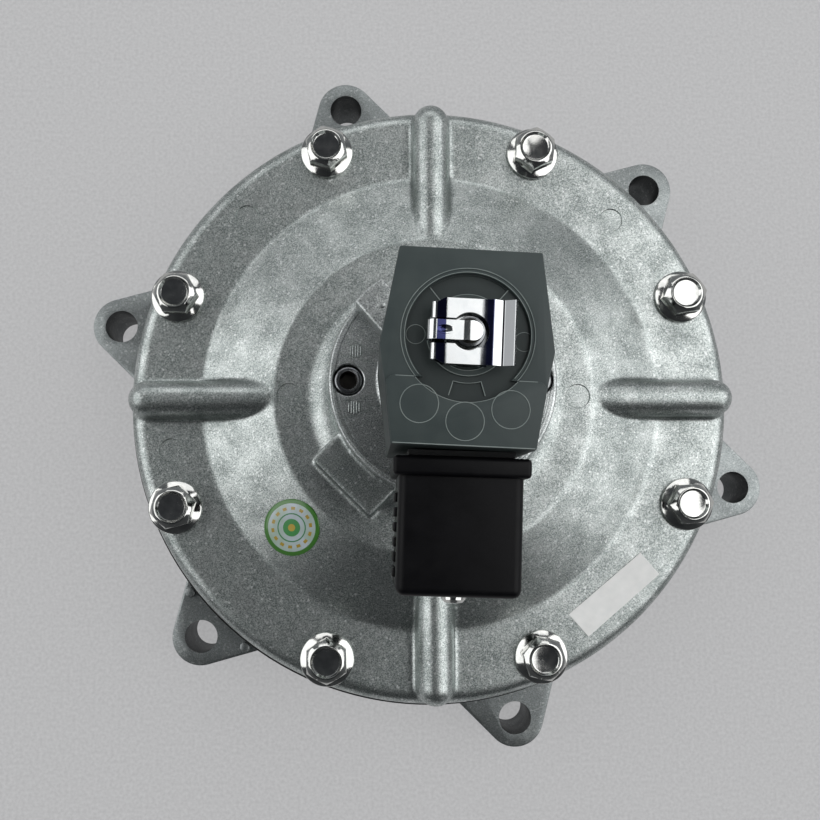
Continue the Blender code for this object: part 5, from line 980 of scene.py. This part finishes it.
def make_connector():
    """The black plug: shell with round long edges, collar, grip ribs, screw, gland nut and rubber."""
    middle = sum(levels("connector_insert")) / 2
    half = CONNECTOR_WIDTH / 2
    near, far = -26.3, -57.1
    low, high = middle - 14.0, middle + 14.0
    shell = box("plug_shell", (-half, far, low), (half, near - 0.3, high))
    soften(shell, 2.0, 5, 60.0)
    lip = (COLLAR_WIDTH - CONNECTOR_WIDTH) / 2
    collar = box("plug_collar", (-half - lip, near - 4.4, low - lip), (half + lip, near, high + lip))
    join(shell, soften(collar, 1.0, 4, 60.0))
    for side in (-1, 1):
        for i in range(6):
            y = -43.9 + (i - 2.5) * 3.4
            grip = box("grip", (side * half - 0.7, y - 1.1, middle - 6.0),
                       (side * half + 0.7, y + 1.1, middle + 6.0))
            join(shell, soften(grip, 0.45, 3, 60.0))
    spigot_end = levels("coil_housing")[0] + 9.5
    join(shell, rod("spigot", 8.6, spigot_end, low + 1.0, (0.0, GLAND_Y), 64))
    inner = half - 2.0
    cut(shell, box("plug_hollow", (-inner, far + 2.0, middle - inner), (inner, near + 0.3, middle + inner)))
    cut(shell, rod("gland_bore", 7.2, spigot_end - 1.0, middle, (0.0, GLAND_Y), 64))
    cut(shell, moved(rod("screw_hole", 2.0, 50.0, 60.0, steps=32), shift(0.0, 0.0, middle) @ ALONG_Y))
    moved(shell, about_z(PLUG_TURN))
    dress(shell, "coil_unit", "black_plastic", "connector_shell")
    start = -far + 0.3
    screw = solid_turned("plug_screw", [
        (0.0, start + 2.0), (1.2, start + 2.1), (2.2, start + 1.8), (2.8, start + 1.1), (2.9, start),
        (1.5, start), (1.5, 18.5), (0.0, 18.5)], 64)
    cut(screw, box("screw_slot", (-4.0, -0.4, start + 1.2), (4.0, 0.4, start + 4.0)))
    moved(screw, about_z(PLUG_TURN) @ shift(0.0, 0.0, middle) @ ALONG_Y)
    dress(screw, "coil_unit", "zinc_bolt", "connector_screw")
    low, high = levels("gland_nut")
    nut = hexagon("gland_hexagon", 21.0, low, high, (0.0, GLAND_Y), 0.9)
    dome = solid_turned("gland_dome", [
        (0.0, high + 1.0), (14.0, high + 1.0), (14.0, low + 3.0), (10.8, low + 1.2), (9.2, low), (0.0, low)])
    combine(nut, moved(dome, shift(0.0, GLAND_Y)), "INTERSECT")
    cut(nut, rod("gland_thread", 8.9, low + 2.2, high + 1.0, (0.0, GLAND_Y), 64))
    cut(nut, rod("gland_mouth", 6.2, low - 1.0, low + 3.0, (0.0, GLAND_Y), 64, 4.6))
    moved(nut, about_z(PLUG_TURN))
    dress(nut, "coil_unit", "black_plastic", "gland_nut")
    low, high = levels("gland_grommet")
    grommet = turned("gland_rubber", [
        (6.9, high), (6.9, low + 0.5), (6.4, low), (4.1, low), (3.6, low + 0.5), (3.6, high)], 64)
    moved(grommet, about_z(PLUG_TURN) @ shift(0.0, GLAND_Y))
    dress(grommet, "coil_unit", "black_rubber", "gland_grommet")


def strip(name, path, half_width, thick):
    """A strip of sheet whose side view follows a path of (x, z) points."""
    points = [(x, side * half_width, z) for x, z in path for side in (-1, 1)]
    faces = [(2 * i, 2 * i + 2, 2 * i + 3, 2 * i + 1) for i in range(len(path) - 1)]
    piece = new_piece(name, points, [], faces)
    apply(piece, "SOLIDIFY", thickness=thick * MM, offset=0.0, use_even_offset=True)
    return tidy(piece)


def eased(path, step=0.12, reach=2):
    """A path with its corners eased: points at equal steps, each level averaged with its neighbours."""
    count = round((path[-1][0] - path[0][0]) / step)
    places = [path[0][0] + (path[-1][0] - path[0][0]) * i / count for i in range(count + 1)]
    levels = []
    for x in places:
        (x0, z0), (x1, z1) = next((a, b) for a, b in zip(path, path[1:]) if x <= b[0] + 0.0001)
        levels.append(z0 + (z1 - z0) * (x - x0) / (x1 - x0))
    near = [levels[max(i - reach, 0):i + reach + 1] for i in range(count + 1)]
    return [(x, sum(group) / len(group)) for x, group in zip(places, near)]


def make_clip():
    """The spring clip: fork, round back bend, leaf with hole, tongue with its dimple, and lifted lip."""
    sheet = 0.6
    low = levels("retaining_clip")[0] + sheet / 2
    upper = low + 2.3
    bend = 1.0
    left = -8.1
    back = arc((left + bend, low + bend), bend, 270.0, 110.0, 40)
    leaf = [(-7.0, upper - 0.28), (-5.4, upper - 0.03), (-5.0, upper), (2.4, upper), (3.2, upper + 0.06),
            (4.2, upper + 0.22), (4.9, upper + 0.36), (5.1, upper + 0.37), (5.4, upper + 0.32),
            (6.9, upper - 0.22), (7.05, upper - 0.32), (7.2, upper - 0.22), (7.5, upper + 0.02),
            (8.6, upper + 0.62), (9.85, upper + 1.3)]
    clip = strip("spring_clip", [(4.0, low)] + back + eased(leaf), 7.1, sheet)
    cut(clip, box("fork_slot", (0.0, -3.0, low - 0.6), (5.2, 3.0, low + 0.6)))
    cut(clip, rod("fork_end", 3.0, low - 0.6, low + 0.6, steps=48))
    cut(clip, rod("head_hole", 4.15, upper - 0.8, upper + 0.8, steps=64))
    cut(clip, box("tongue_slot", (-9.5, -2.75, low + 0.5), (0.0, 2.75, upper + 0.6)))
    for side in (-1, 1):
        corner = ((-9.5, 6.2), (-7.1, 6.2), (-5.3, 7.2), (-5.3, 9.0), (-9.5, 9.0))
        notch = ((6.6, 8.0), (6.95, 6.85), (7.15, 6.85), (7.6, 8.0))
        cut(clip, slab("corner_cut", [(x, side * y) for x, y in corner], low - 1.0, upper + 1.0))
        cut(clip, slab("lip_notch", [(x, side * y) for x, y in notch], low + 1.0, upper + 2.0))
    tongue_z = levels("solenoid_stem")[1] + 0.6
    turn = (tongue_z - low) / 2
    loop = arc((turn * 0.6 - 8.3, low + turn), turn, 270.0, 90.0, 48)
    tongue = strip("clip_tongue", [(-4.6, low)] + loop + eased([
        (-3.9, tongue_z), (-1.4, tongue_z - 0.02), (-0.1, tongue_z + 0.12), (0.1, tongue_z + 0.13),
        (0.3, tongue_z + 0.1), (2.75, tongue_z - 0.2)], 0.1, 1), 2.1, sheet)
    keep = box("tongue_length", (-20.0, -2.6, low - 1.0), (0.6, 2.6, tongue_z + 2.0))
    join(keep, rod("tongue_tip", 2.1, low - 0.8, tongue_z + 1.5, (0.6, 0.0), 48))
    combine(tongue, keep, "INTERSECT")
    dimple = ball(1.0, (-5.4, 0.0, tongue_z + sheet / 2 + 0.25), 96)
    dimple.scale = (2.0, 1.15, 0.55)
    cut(tongue, settle(dimple))
    join(clip, tongue)
    soften(clip, 0.06, 2, 50.0)
    moved(clip, about_z(COIL_TURN))
    dress(clip, "coil_unit", "spring_steel", "retaining_clip", finish=MAT["clip_steel"], angle=14.0)


def on_cover(x, y):
    """The height of the cover's surface on its slope or flange, in millimetres."""
    face = levels("top_cover")[0] + FLANGE_THICKNESS
    radius = math.hypot(x, y)
    share = min(max((SLOPE_FOOT - radius) / (SLOPE_FOOT - SLOPE_TOP), 0.0), 1.0)
    return face + DOME_RISE * share


def make_stickers():
    """The round domed badge on the slope and the bare wrinkled label on the flange."""
    badge = solid_turned("round_badge", [
        (0.0, 0.75), (6.0, 0.72), (8.2, 0.6), (9.1, 0.4), (BADGE_RADIUS, 0.12), (BADGE_RADIUS, 0.0),
        (0.0, 0.0)])
    for vertex in badge.data.vertices:
        x, y = vertex.co.x / MM + BADGE_PLACE[0], vertex.co.y / MM + BADGE_PLACE[1]
        vertex.co = (x * MM, y * MM, vertex.co.z + (on_cover(x, y) + 0.04) * MM)
    print_finish = badge_print("printed_resin_badge", (*BADGE_PLACE, 0.0), BADGE_TURN)
    dress(badge, "root", "pale_plastic", finish=print_finish)
    low = levels("top_cover")[0] + FLANGE_THICKNESS + 0.03
    label = slab("blank_label", LABEL_CORNERS, low, low + 0.12)
    with editing(label):
        bpy.ops.mesh.subdivide(number_cuts=60)
    for vertex in label.data.vertices:
        x, y = vertex.co.x / MM, vertex.co.y / MM
        fold = math.sin(0.55 * x + 0.3 * y) + math.sin(0.5 * y - 0.35 * x + 1.0)
        crease = 0.6 * math.sin(1.3 * x - 0.6 * y)
        vertex.co.z += 0.07 * (2.6 + fold + crease) * MM
    paper = moulded("white_paper_label", "#EEEFED", "#F6F6F4", 0.55, 0.4, 0.02, patch_mm=3.0, shine=0.4)
    dress(label, "root", "pale_plastic", finish=paper)


def dress_cad_nodes():
    """Gives each CAD node that keeps its own mesh the finish of its slot."""
    slots = {
        "brass": ("pilot_disc",),
        "dark_steel": ("fixed_core", "plunger", "flux_plate_lower", "flux_plate_upper"),
        "copper": ("shading_ring", "coil_winding"),
        "black_rubber": ("plunger_seal", "connector_gasket"),
        "pale_plastic": ("coil_bobbin", "connector_insert"),
        "stainless": ("terminal_pin_1", "terminal_pin_2", "earth_pin", "gland_washer")}
    for slot, names in slots.items():
        for name in names:
            coat(NODES[name], MAT[slot])


# Studio

def make_camera():
    """The photograph's view: almost straight down, from close by."""
    data = bpy.data.cameras.new("camera")
    data.sensor_width = SENSOR_MM
    data.lens = FOCAL_PIXELS * SENSOR_MM / PHOTO_SIZE
    data.shift_x = (PHOTO_SIZE / 2 - CENTRE_PIXEL[0]) / PHOTO_SIZE
    data.shift_y = (CENTRE_PIXEL[1] - PHOTO_SIZE / 2) / PHOTO_SIZE
    data.clip_start = 0.01
    camera = linked("camera", data)
    flip = Matrix.Diagonal((1.0, -1.0, -1.0))
    looking = Matrix.Rotation(CAMERA_TILT_Y, 3, "Y") @ Matrix.Rotation(CAMERA_TILT_X, 3, "X")
    to_camera = looking @ flip @ Matrix.Rotation(CAMERA_SPIN, 3, "Z")
    camera.matrix_world = Matrix.Translation(CAMERA_PLACE) @ (to_camera.transposed() @ flip).to_4x4()
    bpy.context.scene.camera = camera


def make_lamp(name, azimuth, elevation, distance, size, brightness):
    """A soft box that faces the valve. A brightness of 1 is white to a mirror."""
    data = bpy.data.lights.new(name, "AREA")
    data.shape = "RECTANGLE"
    data.size, data.size_y = size
    data.energy = brightness * math.pi * size[0] * size[1]
    lamp = linked(name, data)
    across, up = math.radians(azimuth), math.radians(elevation)
    place = Vector((math.cos(across) * math.cos(up), math.sin(across) * math.cos(up), math.sin(up)))
    lamp.location = Vector((0.0, 0.0, 0.08)) + place * distance
    lamp.rotation_euler = place.to_track_quat("Z", "Y").to_euler()


def make_studio():
    """A pale floor, a dim world, and soft boxes left, right, behind and above the right shoulder."""
    bpy.ops.object.select_all(action="DESELECT")
    bpy.ops.mesh.primitive_plane_add(size=6.0)
    floor = bpy.context.object
    floor.name = "floor"
    made, tree, shader, place = material("studio_paper")
    fibres = add(tree, "TexNoise", {"Vector": place, "Scale": 1.0 / (1.2 * MM)})
    tone = add(tree, "ValToRGB", {"Fac": fibres}, [(0.3, "#BABABB"), (0.7, "#C6C6C7")])
    put(tree, shader, {"Base Color": tone, "Roughness": 0.9, "Specular IOR Level": 0.1})
    # Seen directly or in a mirror, most of the paper's tone is its own, so shadows on it stay faint
    glow = add(tree, "Emission", {"Color": tone, "Strength": 1.0})
    ray = add(tree, "LightPath").outputs
    seen = add(tree, "Math", {0: ray["Is Camera Ray"], 1: ray["Is Glossy Ray"]}, operation="MAXIMUM")
    seen = add(tree, "Math", {0: seen, 1: ray["Is Transmission Ray"]}, operation="MAXIMUM")
    share = add(tree, "Math", {0: seen, 1: FLOOR_OWN_TONE}, operation="MULTIPLY")
    both = add(tree, "MixShader", {0: share, 1: shader, 2: glow})
    put(tree, tree.nodes["Material Output"], {"Surface": both})
    floor.data.materials.append(made)
    for name, lamp in LAMPS.items():
        make_lamp(name, *lamp)
    world = bpy.data.worlds.new("studio")
    bpy.context.scene.world = world
    world.use_nodes = True
    tree = world.node_tree
    # The room: pale walls low down, a dark ceiling, and a dark wall behind the camera's foot
    sky = add(tree, "SeparateXYZ", {"Vector": add(tree, "TexCoord").outputs["Generated"]}).outputs
    room = add(tree, "ValToRGB", {"Fac": sky["Z"]}, [(0.0, "#8A8D90"), (0.5, "#636669"), (0.9, "#3A3C3F")])
    front = add(tree, "MapRange", {"Value": sky["Y"], "From Min": -0.7, "From Max": 0.1, "To Min": 0.3})
    paint = add(tree, "Mix", {"Factor": 1.0, "A": room, "B": front}, data_type="RGBA", blend_type="MULTIPLY")
    put(tree, tree.nodes["Background"], {"Color": paint, "Strength": 1.0})
    bpy.context.scene.view_settings.view_transform = "Standard"


make_camera()
make_studio()
make_cover()
make_body()
make_seals()
make_cover_bolts()
make_cap()
make_lift_parts()
make_spring("lift_spring", "main_spring", 1.0, 18.8, 5)
make_spring("pilot_coil_spring", "pilot_spring", 0.3, 4.8, 1.5)
make_spring("plunger_coil_spring", "plunger_spring", 0.25, 2.2, 5)
make_stem()
make_coil()
make_connector()
make_clip()
make_stickers()
dress_cad_nodes()
